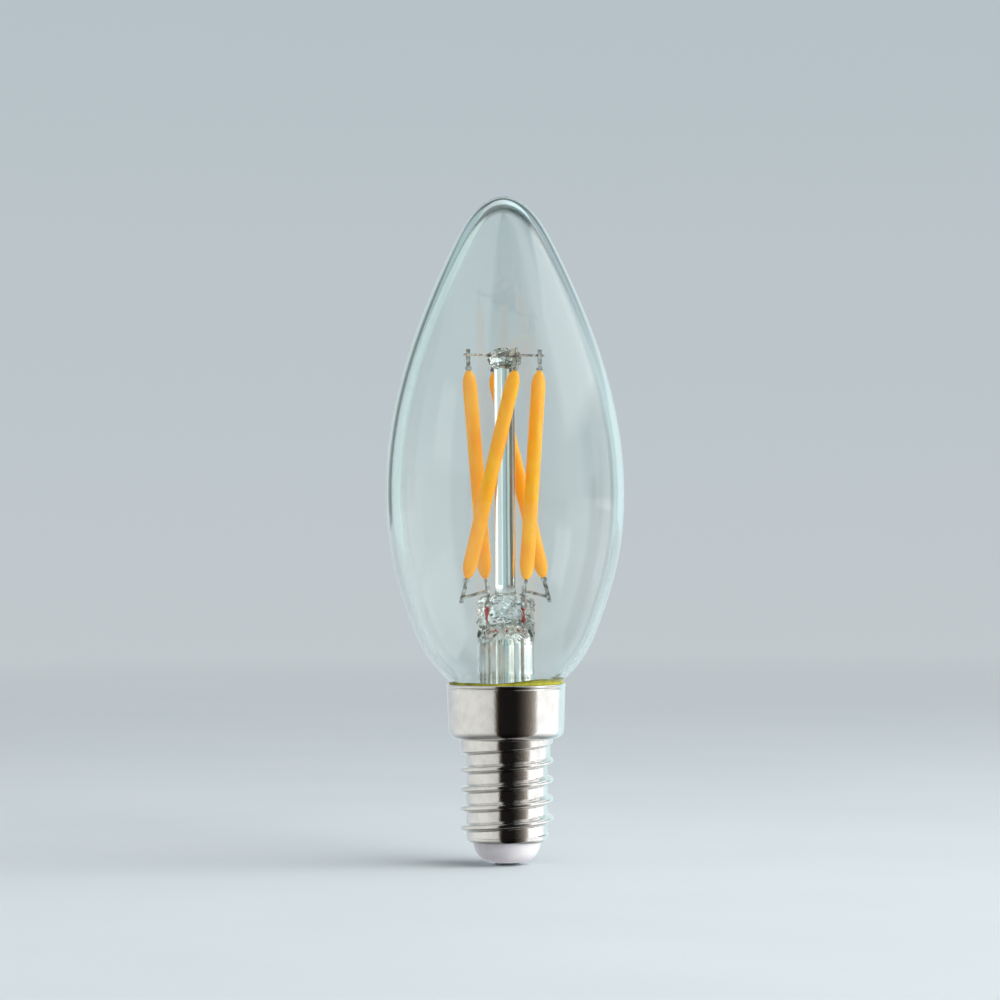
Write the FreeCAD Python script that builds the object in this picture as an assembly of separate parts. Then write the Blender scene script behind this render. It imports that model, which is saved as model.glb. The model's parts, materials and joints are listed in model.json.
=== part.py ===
"""Clear filament candle bulb on a small screw cap, modelled in millimetres.

The axis of the bulb is +Z. The origin is the middle of the contact's flat underside, so the
cap is below and the glass tip above, as the bulb stands in an upright holder. -Y is the
front, where the filaments cross. The glass cage and its wires repeat after half a turn.
"""

import FreeCAD
import Part
import math
import os
from FreeCAD import Vector

# Glass envelope
BULB_LENGTH = 98.2
GLASS_DIAMETER = 35.0
GLASS_WALL = 0.8
GLASS_TIP_WALL = 1.1
# Outline up to the belly: share of the height from the neck to the tip, and share of the
# swell from the neck's radius to the belly's
LOWER_OUTLINE_RATIOS = [
    (0.018, 0.112),
    (0.049, 0.318),
    (0.146, 0.663),
    (0.245, 0.886),
    (0.375, 1.000),
]
# Outline above the belly: share of the same height, and share of the belly's radius
UPPER_OUTLINE_RATIOS = [
    (0.538, 0.949),
    (0.669, 0.817),
    (0.799, 0.616),
    (0.901, 0.420),
    (0.962, 0.268),
    (0.986, 0.165),
]

# Screw shell: collar, land, rolled thread and curled lip, drawn from one sheet
SHEET = 0.25
THREAD_DIAMETER = 13.7
THREAD_DEPTH = 0.85
THREAD_ROOT_DIAMETER = THREAD_DIAMETER - 2 * THREAD_DEPTH
THREAD_PITCH = 2.822
RIDGE_WIDTH = 1.2
FLANK_WIDTH = 0.3
THREAD_TURNS = 5.9
LIP_HEIGHT = 3.35
LIP_RADIUS = 0.8
THREAD_LIFT = 1.32
THREAD_HEIGHT = LIP_HEIGHT + LIP_RADIUS + THREAD_LIFT
BAND_CLEARANCE = 0.1
BAND_DIAMETER = THREAD_ROOT_DIAMETER - 2 * BAND_CLEARANCE
BAND_HEIGHT = 0.2
LEAD_IN_HEIGHT = 0.8
COLLAR_BOTTOM = 18.55
COLLAR_HEIGHT = 8.1
COLLAR_TOP = COLLAR_BOTTOM + COLLAR_HEIGHT
COLLAR_LEDGE_WIDTH = 0.15
COLLAR_CORNER_RADIUS = 1.5
COLLAR_DIAMETER = THREAD_DIAMETER + 2 * (COLLAR_LEDGE_WIDTH + COLLAR_CORNER_RADIUS)
COLLAR_TAPER = 0.4
COLLAR_TOP_DIAMETER = COLLAR_DIAMETER + COLLAR_TAPER

# Neck of the envelope, and the cement between it and the collar
CEMENT_THICKNESS = 0.25
CEMENT_LIFT = 0.6
CEMENT_BEAD_HEIGHT = 0.45
NECK_DIAMETER = COLLAR_DIAMETER - 2 * (SHEET + CEMENT_THICKNESS)
NECK_LIFT = 2.05
NECK_SINK_DEPTH = 0.25
NECK_BOTTOM = COLLAR_BOTTOM + NECK_LIFT
NECK_TOP = COLLAR_TOP - NECK_SINK_DEPTH
CEMENT_BOTTOM = NECK_BOTTOM + CEMENT_LIFT

# Insulator and centre contact
CONTACT_DIAMETER = 3.9
CONTACT_FLAT_DIAMETER = 2.4
CONTACT_THICKNESS = 0.45
SHANK_DIAMETER = 2.2
SHANK_LENGTH = 3.05
INSULATOR_CLEARANCE = 0.1
INSULATOR_FOOT_DIAMETER = 5.5
INSULATOR_BULGE_HEIGHT = 0.35
INSULATOR_FLANGE_HEIGHT = 1.25
INSULATOR_TOP = LIP_HEIGHT + LIP_RADIUS + INSULATOR_FLANGE_HEIGHT
INSULATOR_POCKET_DEPTH = 2.3
INSULATOR_FLOOR = INSULATOR_TOP - INSULATOR_POCKET_DEPTH
INSULATOR_WALL = 1.1
RAIL_WIDTH = 3.4
BOARD_SLOT_DEPTH = 1.0

# Glass stem: flare, tube and press
STEM_DIAMETER = 8.3
STEM_WALL = 1.0
STEM_HEIGHT = 7.2
FLARE_HEIGHT = 4.6
FLARE_EDGE_HEIGHT = 0.9
PRESS_SHOULDER = NECK_TOP + STEM_HEIGHT
PRESS_TAPER_HEIGHT = 2.6
PRESS_BOTTOM = PRESS_SHOULDER + PRESS_TAPER_HEIGHT
PRESS_HEIGHT = 3.6
PRESS_TOP = PRESS_BOTTOM + PRESS_HEIGHT
PRESS_THICKNESS = 3.6
PRESS_ROUND_RADIUS = 1.1
CAVITY_LIFT = 1.1
STEM_CAVITY_TOP = PRESS_SHOULDER + CAVITY_LIFT

# Driver board and what it carries
BOARD_CLEARANCE = 0.95
BOARD_WIDTH = THREAD_ROOT_DIAMETER - 2 * (SHEET + BOARD_CLEARANCE)
BOARD_THICKNESS = 1.0
BOARD_DROP = 2.15
BOARD_TOP = COLLAR_BOTTOM - BOARD_DROP
SLOT_CLEARANCE = 0.05
PAD_LENGTH = 1.4
RECTIFIER_SIZE = (4.7, 2.3, 3.9)
RECTIFIER_LIFT = 0.2
RECTIFIER_BOTTOM = INSULATOR_TOP + RECTIFIER_LIFT
DRIVER_CHIP_SIZE = (3.9, 1.5, 4.9)
DRIVER_CHIP_LIFT = 2.8
DRIVER_CHIP_BOTTOM = INSULATOR_TOP + DRIVER_CHIP_LIFT
DRIVER_CHIP_OFFSET = 2.2
LEG_WIDTH = 0.5
LEG_LENGTH = 0.7
LEG_THICKNESS = 0.2
BODY_CLEARANCE = 0.1
CAPACITOR_DIAMETER = 4.0
CAPACITOR_HEIGHT = 5.6
CAPACITOR_CLEARANCE = 0.9
CAPACITOR_BOTTOM = RECTIFIER_BOTTOM + RECTIFIER_SIZE[2] + CAPACITOR_CLEARANCE
CAPACITOR_LEAD_SPACING = 1.5
CAPACITOR_LEAD_DIAMETER = 0.4
RESISTOR_DIAMETER = 2.0
RESISTOR_WAIST_DIAMETER = 1.7
RESISTOR_LENGTH = 4.4
RESISTOR_LIFT = 1.6
RESISTOR_BOTTOM = INSULATOR_TOP + RESISTOR_LIFT
RESISTOR_OFFSET = 2.3
RESISTOR_LEAD_DIAMETER = 0.5
NEUTRAL_WIRE_DIAMETER = 0.5
NEUTRAL_BEND_RADIUS = 0.6
NEUTRAL_LENGTH = 1.6
NEUTRAL_SEAT_LENGTH = 1.6

# Exhaust tube and its outlet through the press
EXHAUST_DIAMETER = 2.9
EXHAUST_BORE_DIAMETER = 1.7
EXHAUST_CLEARANCE = 0.8
EXHAUST_TIP = BOARD_TOP + EXHAUST_CLEARANCE
EXHAUST_TIP_LENGTH = 2.6
EXHAUST_TIP_WALL = 1.2
EXHAUST_SEAT_DEPTH = 0.7
EXHAUST_TOP = STEM_CAVITY_TOP + EXHAUST_SEAT_DEPTH
OUTLET_LIFT = 1.0
OUTLET_HEIGHT = EXHAUST_TOP + OUTLET_LIFT
OUTLET_DIAMETER = 1.5

# Leads through the press, and the wires welded to them
LEAD_DIAMETER = 0.44
LEAD_COVER = 1.65
LEAD_SPACING = STEM_DIAMETER - 2 * LEAD_COVER
ARM_BEND_RADIUS = 0.4
LEAD_RISE_HEIGHT = 1.5 * ARM_BEND_RADIUS
LEAD_TOP = PRESS_TOP + LEAD_RISE_HEIGHT
ARM_DROP = 1.0
ARM_END_HEIGHT = LEAD_TOP - ARM_DROP
ARM_OVERHANG_LENGTH = 0.45
CROSS_DROP = 0.3
CROSS_OVERHANG_LENGTH = 0.5
SEAL_DIAMETER = 0.55
SEAL_LIFT = 1.9
SEAL_BOTTOM = PRESS_SHOULDER + SEAL_LIFT
SEAL_COVER = 1.9
SEAL_TOP = PRESS_TOP - SEAL_COVER
OUTER_LEAD_DIAMETER = 0.4
OUTER_LEAD_BEND_RADIUS = 0.8

# Metal tabs at the filaments' ends
TAB_WIDTH = 0.6
TAB_COVER = 0.08
TAB_THICKNESS = 0.2
TAB_ROOT_DEPTH = 0.9
TAB_KNEE_LENGTH = 0.7
TAB_OVERHANG_LENGTH = 0.85
CRIMP_WIDTH = 0.85
CRIMP_THICKNESS = 0.5
CRIMP_LENGTH = 0.45
CRIMP_CLEARANCE = 0.1
WELD_CLEARANCE = 0.03

# Filaments
FILAMENT_DIAMETER = 2.1
FILAMENT_LENGTH = 31.3
FILAMENT_LIFT = 1.25
FILAMENT_MIDDLE = LEAD_TOP + FILAMENT_LIFT + FILAMENT_LENGTH / 2
FILAMENT_TOP_TAPER_LENGTH = 2.8
FILAMENT_BOTTOM_TAPER_LENGTH = 2.4
FILAMENT_TIP_DIAMETER = TAB_WIDTH + 2 * TAB_COVER
TOP_RING_DIAMETER = 10.9
BOTTOM_RING_DIAMETER = 11.6
# Polar angles of two filaments at their tops and bottoms; half a turn gives the other two
TOP_ANGLES = [197.2, 287.2]
BOTTOM_ANGLES = [121.0, 194.0]

# Wires that carry the filaments' tops, and the glass pillar and bead that hold them
SUPPORT_DIAMETER = 0.36
SUPPORT_LIFT = 1.9
SUPPORT_HEIGHT = FILAMENT_MIDDLE + FILAMENT_LENGTH / 2 + SUPPORT_LIFT
SUPPORT_OVERHANG_LENGTH = 0.8
PILLAR_DIAMETER = 3.0
PILLAR_ROOT_DEPTH = 1.4
BEAD_DROP = 0.45
BEAD_HEIGHT = SUPPORT_HEIGHT - BEAD_DROP
BEAD_DIAMETER = 4.7
BEAD_THICKNESS = 2.7

FRONT = -1
BACK = 1


def point(radius, angle, height):
    """A place given by its distance from the axis, its polar angle in degrees and its height."""
    turn = math.radians(angle)
    return Vector(radius * math.cos(turn), radius * math.sin(turn), height)


def curve(start, corner, end):
    """A smooth bend from start to end that follows both sides of the corner."""
    bend = Part.BezierCurve()
    bend.setPoles([start, corner, end])
    return bend.toShape()


def line(start, end):
    return Part.makeLine(start, end)


def turned(edges):
    """A solid turned about the bulb's axis from a closed outline in the XZ plane."""
    face = Part.Face(Part.Wire(edges))
    return face.revolve(Vector(0, 0, 0), Vector(0, 0, 1), 360)


def turned_polygon(corners):
    places = [Vector(radius, 0, height) for radius, height in corners]
    return turned(Part.makePolygon(places + places[:1]).Edges)


def rod(start, end, diameter):
    return Part.makeCylinder(diameter / 2, (end - start).Length, start, end - start)


def bent_wire(corners, diameter, bend):
    """A round wire along straight runs, with an arc of the given radius at each corner."""
    path = []
    here = corners[0]
    for before, corner, after in zip(corners, corners[1:], corners[2:]):
        back = (before - corner).normalize()
        ahead = (after - corner).normalize()
        opening = back.getAngle(ahead)
        setback = bend / math.tan(opening / 2)
        middle = (back + ahead).normalize()
        depth = bend / math.sin(opening / 2) - bend
        arc_start = corner + back * setback
        arc_end = corner + ahead * setback
        path.append(line(here, arc_start))
        path.append(Part.Arc(arc_start, corner + middle * depth, arc_end).toShape())
        here = arc_end
    path.append(line(here, corners[-1]))
    section = Part.Wire(Part.makeCircle(diameter / 2, corners[0], corners[1] - corners[0]))
    return Part.Wire(path).makePipeShell([section], True, False)


def beside(start, target, gap):
    """Level direction from start that passes the target at the given distance, to its right."""
    reach = Vector(target.x - start.x, target.y - start.y, 0)
    swing = math.asin(gap / reach.Length)
    heading = math.atan2(reach.y, reach.x) + swing
    length = math.sqrt(reach.Length ** 2 - gap ** 2)
    return Vector(math.cos(heading), math.sin(heading), 0), length


def weld_gap(wire):
    """From a wire's middle to the middle of the tab that is welded to its side."""
    return (wire + TAB_THICKNESS) / 2 + WELD_CLEARANCE


def half_turn(shape):
    other = shape.copy()
    other.rotate(Vector(0, 0, 0), Vector(0, 0, 1), 180)
    return other


def wall_at(share):
    """The wall grows from the belly to the tip, where the blown glass is thicker."""
    return GLASS_WALL + (GLASS_TIP_WALL - GLASS_WALL) * share ** 3


def envelope_curve(inner):
    """Outline of the glass above the neck: the outside, or the inside one wall further in."""
    span = BULB_LENGTH - NECK_TOP
    belly = GLASS_DIAMETER / 2
    neck = NECK_DIAMETER / 2
    shares = [height for height, radius in LOWER_OUTLINE_RATIOS + UPPER_OUTLINE_RATIOS]
    outside = [Vector(neck, 0, NECK_TOP)]
    outside += [Vector(neck + swell * (belly - neck), 0, NECK_TOP + height * span)
                for height, swell in LOWER_OUTLINE_RATIOS]
    outside += [Vector(radius * belly, 0, NECK_TOP + height * span)
                for height, radius in UPPER_OUTLINE_RATIOS]
    outside.append(Vector(0, 0, BULB_LENGTH))
    up_and_out = Vector(0.5, 0, 1)
    outline = Part.BSplineCurve()
    outline.interpolate(Points=outside, InitialTangent=up_and_out, FinalTangent=Vector(-1, 0, 0))
    if not inner:
        return outline
    inside = []
    for place, share in zip(outside, [0.0] + shares + [1.0]):
        along = Vector(*outline.tangent(outline.parameter(place))[0])
        inward = Vector(-along.z, 0, along.x)
        inside.append(place + inward * wall_at(share))
    inside[0] = Vector(neck - GLASS_WALL, 0, NECK_TOP)
    inside[-1] = Vector(0, 0, BULB_LENGTH - GLASS_TIP_WALL)
    hollow = Part.BSplineCurve()
    hollow.interpolate(Points=inside, InitialTangent=up_and_out, FinalTangent=Vector(-1, 0, 0))
    return hollow


def envelope_form():
    """The envelope's outside as a filled solid, which the cement is moulded to."""
    outside = envelope_curve(False)
    foot = Vector(NECK_DIAMETER / 2, 0, NECK_BOTTOM)
    base = Vector(0, 0, NECK_BOTTOM)
    return turned([
        line(base, foot),
        line(foot, outside.StartPoint),
        outside.toShape(),
        line(outside.EndPoint, base),
    ])


def glass_envelope():
    outside = envelope_curve(False)
    inside = envelope_curve(True)
    outer_foot = Vector(NECK_DIAMETER / 2, 0, NECK_BOTTOM)
    inner_foot = Vector(NECK_DIAMETER / 2 - GLASS_WALL, 0, NECK_BOTTOM)
    return turned([
        line(outer_foot, outside.StartPoint),
        outside.toShape(),
        line(outside.EndPoint, inside.EndPoint),
        inside.toShape(),
        line(inside.StartPoint, inner_foot),
        line(inner_foot, outer_foot),
    ])


def thread_groove(offset):
    """The valley between the thread's ridges, for a skin that lies offset inside the outside."""
    crest = THREAD_DIAMETER / 2 - offset
    root = THREAD_ROOT_DIAMETER / 2 - offset
    depth = crest - root
    flank_shift = offset * (math.hypot(depth, FLANK_WIDTH) - FLANK_WIDTH) / depth
    root_half = (THREAD_PITCH - RIDGE_WIDTH) / 2 + flank_shift
    crest_half = root_half + FLANK_WIDTH
    clear = 2 * SHEET
    outer_half = crest_half + clear * FLANK_WIDTH / depth
    start = THREAD_HEIGHT - 2 * THREAD_PITCH
    section = Part.makePolygon([
        Vector(crest + clear, 0, start - outer_half),
        Vector(root, 0, start - root_half),
        Vector(root, 0, start + root_half),
        Vector(crest + clear, 0, start + outer_half),
        Vector(crest + clear, 0, start - outer_half),
    ])
    helix = Part.makeHelix(THREAD_PITCH, THREAD_TURNS * THREAD_PITCH, crest)
    helix.translate(Vector(0, 0, start))
    return Part.Wire(helix.Edges).makePipeShell([section], True, True)


def shell_form(offset, overrun):
    """The cap as a filled solid whose skin lies offset inside the outside of the sheet."""
    crest = THREAD_DIAMETER / 2 - offset
    band = BAND_DIAMETER / 2 - offset
    collar_low = COLLAR_DIAMETER / 2
    corner = collar_low - COLLAR_CORNER_RADIUS
    curl_centre = LIP_HEIGHT + LIP_RADIUS
    lip = BAND_DIAMETER / 2 - LIP_RADIUS
    underside = COLLAR_BOTTOM + offset
    corner_top = COLLAR_BOTTOM + COLLAR_CORNER_RADIUS
    places = {
        "axis low": Vector(0, 0, LIP_HEIGHT - overrun),
        "lip low": Vector(lip, 0, LIP_HEIGHT - overrun),
        "lip": Vector(lip, 0, LIP_HEIGHT + offset),
        "curl top": Vector(band, 0, curl_centre),
        "lead-in low": Vector(band, 0, curl_centre + BAND_HEIGHT + offset / 2),
        "lead-in high": Vector(crest, 0, curl_centre + BAND_HEIGHT + LEAD_IN_HEIGHT + offset / 2),
        "land top": Vector(crest, 0, underside),
        "corner low": Vector(corner, 0, underside),
        "corner high": Vector(collar_low - offset, 0, corner_top),
        "rim": Vector(COLLAR_TOP_DIAMETER / 2 - offset, 0, COLLAR_TOP),
        "rim high": Vector(COLLAR_TOP_DIAMETER / 2 - offset, 0, COLLAR_TOP + overrun),
        "axis high": Vector(0, 0, COLLAR_TOP + overrun),
    }
    half_root = math.sqrt(0.5)
    curl = LIP_RADIUS - offset
    curl_middle = Vector(lip + curl * half_root, 0, curl_centre - curl * half_root)
    bend = COLLAR_CORNER_RADIUS - offset
    bend_middle = Vector(corner + bend * half_root, 0, corner_top - bend * half_root)
    edges = [line(places["axis low"], places["lip low"])]
    if offset:
        edges.append(line(places["lip low"], places["lip"]))
    edges += [
        Part.Arc(places["lip"], curl_middle, places["curl top"]).toShape(),
        line(places["curl top"], places["lead-in low"]),
        line(places["lead-in low"], places["lead-in high"]),
        line(places["lead-in high"], places["land top"]),
        line(places["land top"], places["corner low"]),
        Part.Arc(places["corner low"], bend_middle, places["corner high"]).toShape(),
        line(places["corner high"], places["rim"]),
    ]
    if offset:
        edges.append(line(places["rim"], places["rim high"]))
    edges += [
        line(places["rim high"], places["axis high"]),
        line(places["axis high"], places["axis low"]),
    ]
    return turned(edges).cut(thread_groove(offset))


def cap_shell():
    return shell_form(0, 0).cut(shell_form(SHEET, SHEET))


def board_slot_floor():
    return INSULATOR_TOP - BOARD_SLOT_DEPTH


def insulator():
    """Moulded plug that fills the shell's mouth, seats on the curled lip and holds the board."""
    lip = BAND_DIAMETER / 2 - LIP_RADIUS
    throat = lip - INSULATOR_CLEARANCE
    flange = BAND_DIAMETER / 2 - SHEET - INSULATOR_CLEARANCE
    curl_centre = LIP_HEIGHT + LIP_RADIUS
    seat = LIP_RADIUS - SHEET - INSULATOR_CLEARANCE
    half_root = math.sqrt(0.5)
    foot = Vector(INSULATOR_FOOT_DIAMETER / 2, 0, CONTACT_THICKNESS)
    dome_top = Vector(throat, 0, LIP_HEIGHT)
    chord = dome_top - foot
    outward = Vector(chord.z, 0, -chord.x).normalize()
    dome_middle = (foot + dome_top) * 0.5 + outward * INSULATOR_BULGE_HEIGHT
    throat_top = Vector(throat, 0, curl_centre - seat)
    seat_low = Vector(lip, 0, curl_centre - seat)
    seat_middle = Vector(lip + seat * half_root, 0, curl_centre - seat * half_root)
    seat_high = Vector(flange, 0, curl_centre)
    rim = Vector(flange, 0, INSULATOR_TOP)
    body = turned([
        line(Vector(0, 0, CONTACT_THICKNESS), foot),
        Part.Arc(foot, dome_middle, dome_top).toShape(),
        line(dome_top, throat_top),
        line(throat_top, seat_low),
        Part.Arc(seat_low, seat_middle, seat_high).toShape(),
        line(seat_high, rim),
        line(rim, Vector(0, 0, INSULATOR_TOP)),
        line(Vector(0, 0, INSULATOR_TOP), Vector(0, 0, CONTACT_THICKNESS)),
    ])
    depth = INSULATOR_TOP - INSULATOR_FLOOR
    recess = Part.makeCylinder(flange - INSULATOR_WALL, depth, Vector(0, 0, INSULATOR_FLOOR))
    rail = Part.makeBox(2 * flange, RAIL_WIDTH, depth,
                        Vector(-flange, -RAIL_WIDTH / 2, INSULATOR_FLOOR))
    slot_width = BOARD_THICKNESS + 2 * SLOT_CLEARANCE
    slot = Part.makeBox(BOARD_WIDTH + 2 * SLOT_CLEARANCE, slot_width, BOARD_SLOT_DEPTH,
                        Vector(-BOARD_WIDTH / 2 - SLOT_CLEARANCE, -slot_width / 2, board_slot_floor()))
    shank_hole = Part.makeCylinder(SHANK_DIAMETER / 2, SHANK_LENGTH, Vector(0, 0, CONTACT_THICKNESS))
    wire_way = resistor_lead_hole()
    return body.cut(recess.cut(rail)).cut(slot).cut(shank_hole).cut(wire_way)


def resistor_axis():
    stand_off = BOARD_THICKNESS / 2 + BODY_CLEARANCE + RESISTOR_DIAMETER / 2
    return Vector(-RESISTOR_OFFSET, FRONT * stand_off, 0)


def resistor_lead_path():
    """The resistor's lower lead drops beside the board and turns in to the contact's shank."""
    axis = resistor_axis()
    knee_height = CONTACT_THICKNESS + SHANK_LENGTH + RESISTOR_LEAD_DIAMETER / 2
    return [
        Vector(axis.x, axis.y, RESISTOR_BOTTOM),
        Vector(axis.x, axis.y, knee_height),
        Vector(0, 0, knee_height),
    ]


def resistor_lead_hole():
    """A channel for the live lead, open at the top so that the lead can be laid in."""
    top, knee, end = resistor_lead_path()
    width = RESISTOR_LEAD_DIAMETER + 2 * INSULATOR_CLEARANCE
    level = end - knee
    run = Part.makeBox(level.Length + width, width, INSULATOR_TOP - knee.z + width / 2)
    run.translate(Vector(-width / 2, -width / 2, -width / 2))
    run.rotate(Vector(0, 0, 0), Vector(0, 0, 1), math.degrees(math.atan2(level.y, level.x)))
    run.translate(knee)
    return run


def centre_contact():
    """Nail contact: a domed head with a flat tip, and a shank pressed into the insulator."""
    flat = Vector(CONTACT_FLAT_DIAMETER / 2, 0, 0)
    edge = Vector(CONTACT_DIAMETER / 2, 0, CONTACT_THICKNESS * 0.6)
    under_head = Vector(CONTACT_DIAMETER / 2, 0, CONTACT_THICKNESS)
    neck = Vector(SHANK_DIAMETER / 2, 0, CONTACT_THICKNESS)
    shank_top = Vector(SHANK_DIAMETER / 2, 0, CONTACT_THICKNESS + SHANK_LENGTH)
    axis_top = Vector(0, 0, shank_top.z)
    return turned([
        line(Vector(0, 0, 0), flat),
        curve(flat, Vector(edge.x, 0, 0), edge),
        line(edge, under_head),
        line(under_head, neck),
        line(neck, shank_top),
        line(shank_top, axis_top),
        line(axis_top, Vector(0, 0, 0)),
    ])


def cement_ring():
    """Cement fills the collar round the neck and stands a little above the rim."""
    low = COLLAR_DIAMETER / 2 - SHEET
    high = COLLAR_TOP_DIAMETER / 2 - SHEET
    slope = (high - low) / (COLLAR_TOP - COLLAR_BOTTOM - COLLAR_CORNER_RADIUS)
    bottom = low + slope * (CEMENT_BOTTOM - COLLAR_BOTTOM - COLLAR_CORNER_RADIUS)
    core = NECK_DIAMETER / 2 - GLASS_WALL
    filled = turned_polygon([
        (core, CEMENT_BOTTOM),
        (bottom, CEMENT_BOTTOM),
        (high, COLLAR_TOP),
        (high + SHEET / 2, COLLAR_TOP),
        (high, COLLAR_TOP + CEMENT_BEAD_HEIGHT),
        (core, COLLAR_TOP + CEMENT_BEAD_HEIGHT),
    ])
    return filled.cut(envelope_form())


def stem_outside():
    neck = NECK_DIAMETER / 2 - GLASS_WALL
    tube = STEM_DIAMETER / 2
    flare_top = NECK_BOTTOM + FLARE_HEIGHT
    edge_low = Vector(neck, 0, NECK_BOTTOM)
    edge_high = Vector(neck, 0, NECK_BOTTOM + FLARE_EDGE_HEIGHT)
    tube_low = Vector(tube, 0, flare_top)
    tube_high = Vector(tube, 0, PRESS_SHOULDER)
    return turned([
        line(Vector(0, 0, NECK_BOTTOM), edge_low),
        line(edge_low, edge_high),
        curve(edge_high, Vector(tube, 0, edge_high.z), tube_low),
        line(tube_low, tube_high),
        line(tube_high, Vector(0, 0, PRESS_SHOULDER)),
        line(Vector(0, 0, PRESS_SHOULDER), Vector(0, 0, NECK_BOTTOM)),
    ])


def stem_cavity():
    """Inside of the flare and tube, closed by a dome under the press."""
    neck = NECK_DIAMETER / 2 - GLASS_WALL
    bore = STEM_DIAMETER / 2 - STEM_WALL
    rim = Vector(neck - FLARE_EDGE_HEIGHT, 0, NECK_BOTTOM)
    bore_low = Vector(bore, 0, NECK_BOTTOM + FLARE_HEIGHT)
    bore_high = Vector(bore, 0, STEM_CAVITY_TOP - bore)
    dome = Vector(0, 0, STEM_CAVITY_TOP)
    return turned([
        line(Vector(0, 0, NECK_BOTTOM), rim),
        curve(rim, Vector(bore, 0, NECK_BOTTOM), bore_low),
        line(bore_low, bore_high),
        curve(bore_high, Vector(bore, 0, STEM_CAVITY_TOP), dome),
        line(dome, Vector(0, 0, NECK_BOTTOM)),
    ])


def press_side(half_low, half_high, across):
    """Side or front outline of the press, extruded right through the tube."""
    far = STEM_DIAMETER
    rounding = PRESS_ROUND_RADIUS

    def place(sideways, height):
        if across:
            return Vector(-far, sideways, height)
        return Vector(sideways, -far, height)

    def flank(sign):
        low = place(sign * half_low, PRESS_SHOULDER)
        high = place(sign * half_high, PRESS_BOTTOM)
        middle = (low + high) * 0.5
        knee_low = place(sign * half_low, (PRESS_SHOULDER * 2 + PRESS_BOTTOM) / 3)
        knee_high = place(sign * half_high, (PRESS_SHOULDER + PRESS_BOTTOM * 2) / 3)
        edge = place(sign * half_high, PRESS_TOP - rounding)
        top = place(sign * (half_high - rounding), PRESS_TOP)
        corner = place(sign * half_high, PRESS_TOP)
        return low, middle, high, knee_low, knee_high, edge, top, corner

    edges = []
    ends = []
    for sign in (-1, 1):
        low, middle, high, knee_low, knee_high, edge, top, corner = flank(sign)
        if half_low > half_high:
            edges += [curve(low, knee_low, middle), curve(middle, knee_high, high)]
            edges.append(line(high, edge))
        else:
            edges.append(line(low, edge))
        edges.append(curve(edge, corner, top))
        ends.append((low, top))
    edges.append(line(ends[0][0], ends[1][0]))
    edges.append(line(ends[0][1], ends[1][1]))
    face = Part.Face(Part.Wire(Part.__sortEdges__(edges)))
    direction = Vector(2 * far, 0, 0) if across else Vector(0, 2 * far, 0)
    return face.extrude(direction)


def press():
    """The tube's end, pressed flat while hot, as wide as the tube and rounded on top."""
    tube = STEM_DIAMETER / 2
    blank = Part.makeCylinder(tube, PRESS_TOP - PRESS_SHOULDER, Vector(0, 0, PRESS_SHOULDER))
    side = press_side(tube, PRESS_THICKNESS / 2, True)
    front = press_side(tube, tube, False)
    return blank.common(side).common(front)


def exhaust_passage():
    """Way for the gas from the exhaust tube to the bulb, out through the back of the press."""
    rise = Part.makeCylinder(OUTLET_DIAMETER / 2, OUTLET_HEIGHT - EXHAUST_TOP + OUTLET_DIAMETER / 2,
                             Vector(0, 0, EXHAUST_TOP))
    way_out = Part.makeCylinder(OUTLET_DIAMETER / 2, STEM_DIAMETER, Vector(0, 0, OUTLET_HEIGHT),
                                Vector(0, BACK, 0))
    return rise.fuse(way_out)


def glass_stem():
    body = stem_outside().fuse(press()).removeSplitter()
    body = body.cut(stem_cavity())
    exhaust_root = Part.makeCylinder(EXHAUST_DIAMETER / 2, EXHAUST_TOP - STEM_CAVITY_TOP + STEM_WALL,
                                     Vector(0, 0, STEM_CAVITY_TOP - STEM_WALL))
    pillar_root = Part.makeCylinder(PILLAR_DIAMETER / 2, PILLAR_ROOT_DEPTH,
                                    Vector(0, 0, PRESS_TOP - PILLAR_ROOT_DEPTH))
    body = body.cut(exhaust_root).cut(exhaust_passage()).cut(pillar_root)
    for wire in sealed_wires():
        body = body.cut(wire)
    return body


def sealed_wires():
    """Both leads from the cavity to above the press, as the glass closes round them."""
    wires = []
    for side in (-1, 1):
        x = side * LEAD_SPACING / 2
        wires.append(rod(Vector(x, 0, STEM_CAVITY_TOP - STEM_DIAMETER / 2), Vector(x, 0, SEAL_BOTTOM),
                         OUTER_LEAD_DIAMETER))
        wires.append(rod(Vector(x, 0, SEAL_BOTTOM), Vector(x, 0, SEAL_TOP), SEAL_DIAMETER))
        wires.append(rod(Vector(x, 0, SEAL_TOP), Vector(x, 0, PRESS_TOP + LEAD_DIAMETER), LEAD_DIAMETER))
    return wires


def exhaust_tube():
    """Tube that the bulb was pumped and filled through, drawn off and sealed at its tip."""
    outer = EXHAUST_DIAMETER / 2
    bore = EXHAUST_BORE_DIAMETER / 2
    shoulder = EXHAUST_TIP + EXHAUST_TIP_LENGTH
    bore_end = EXHAUST_TIP + EXHAUST_TIP_WALL
    tip = Vector(0, 0, EXHAUST_TIP)
    side_low = Vector(outer, 0, shoulder)
    side_high = Vector(outer, 0, EXHAUST_TOP)
    bore_high = Vector(bore, 0, EXHAUST_TOP)
    bore_low = Vector(bore, 0, shoulder)
    bore_tip = Vector(0, 0, bore_end)
    return turned([
        curve(tip, Vector(outer, 0, EXHAUST_TIP), side_low),
        line(side_low, side_high),
        line(side_high, bore_high),
        line(bore_high, bore_low),
        curve(bore_low, Vector(bore, 0, bore_end), bore_tip),
        line(bore_tip, tip),
    ])


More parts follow.
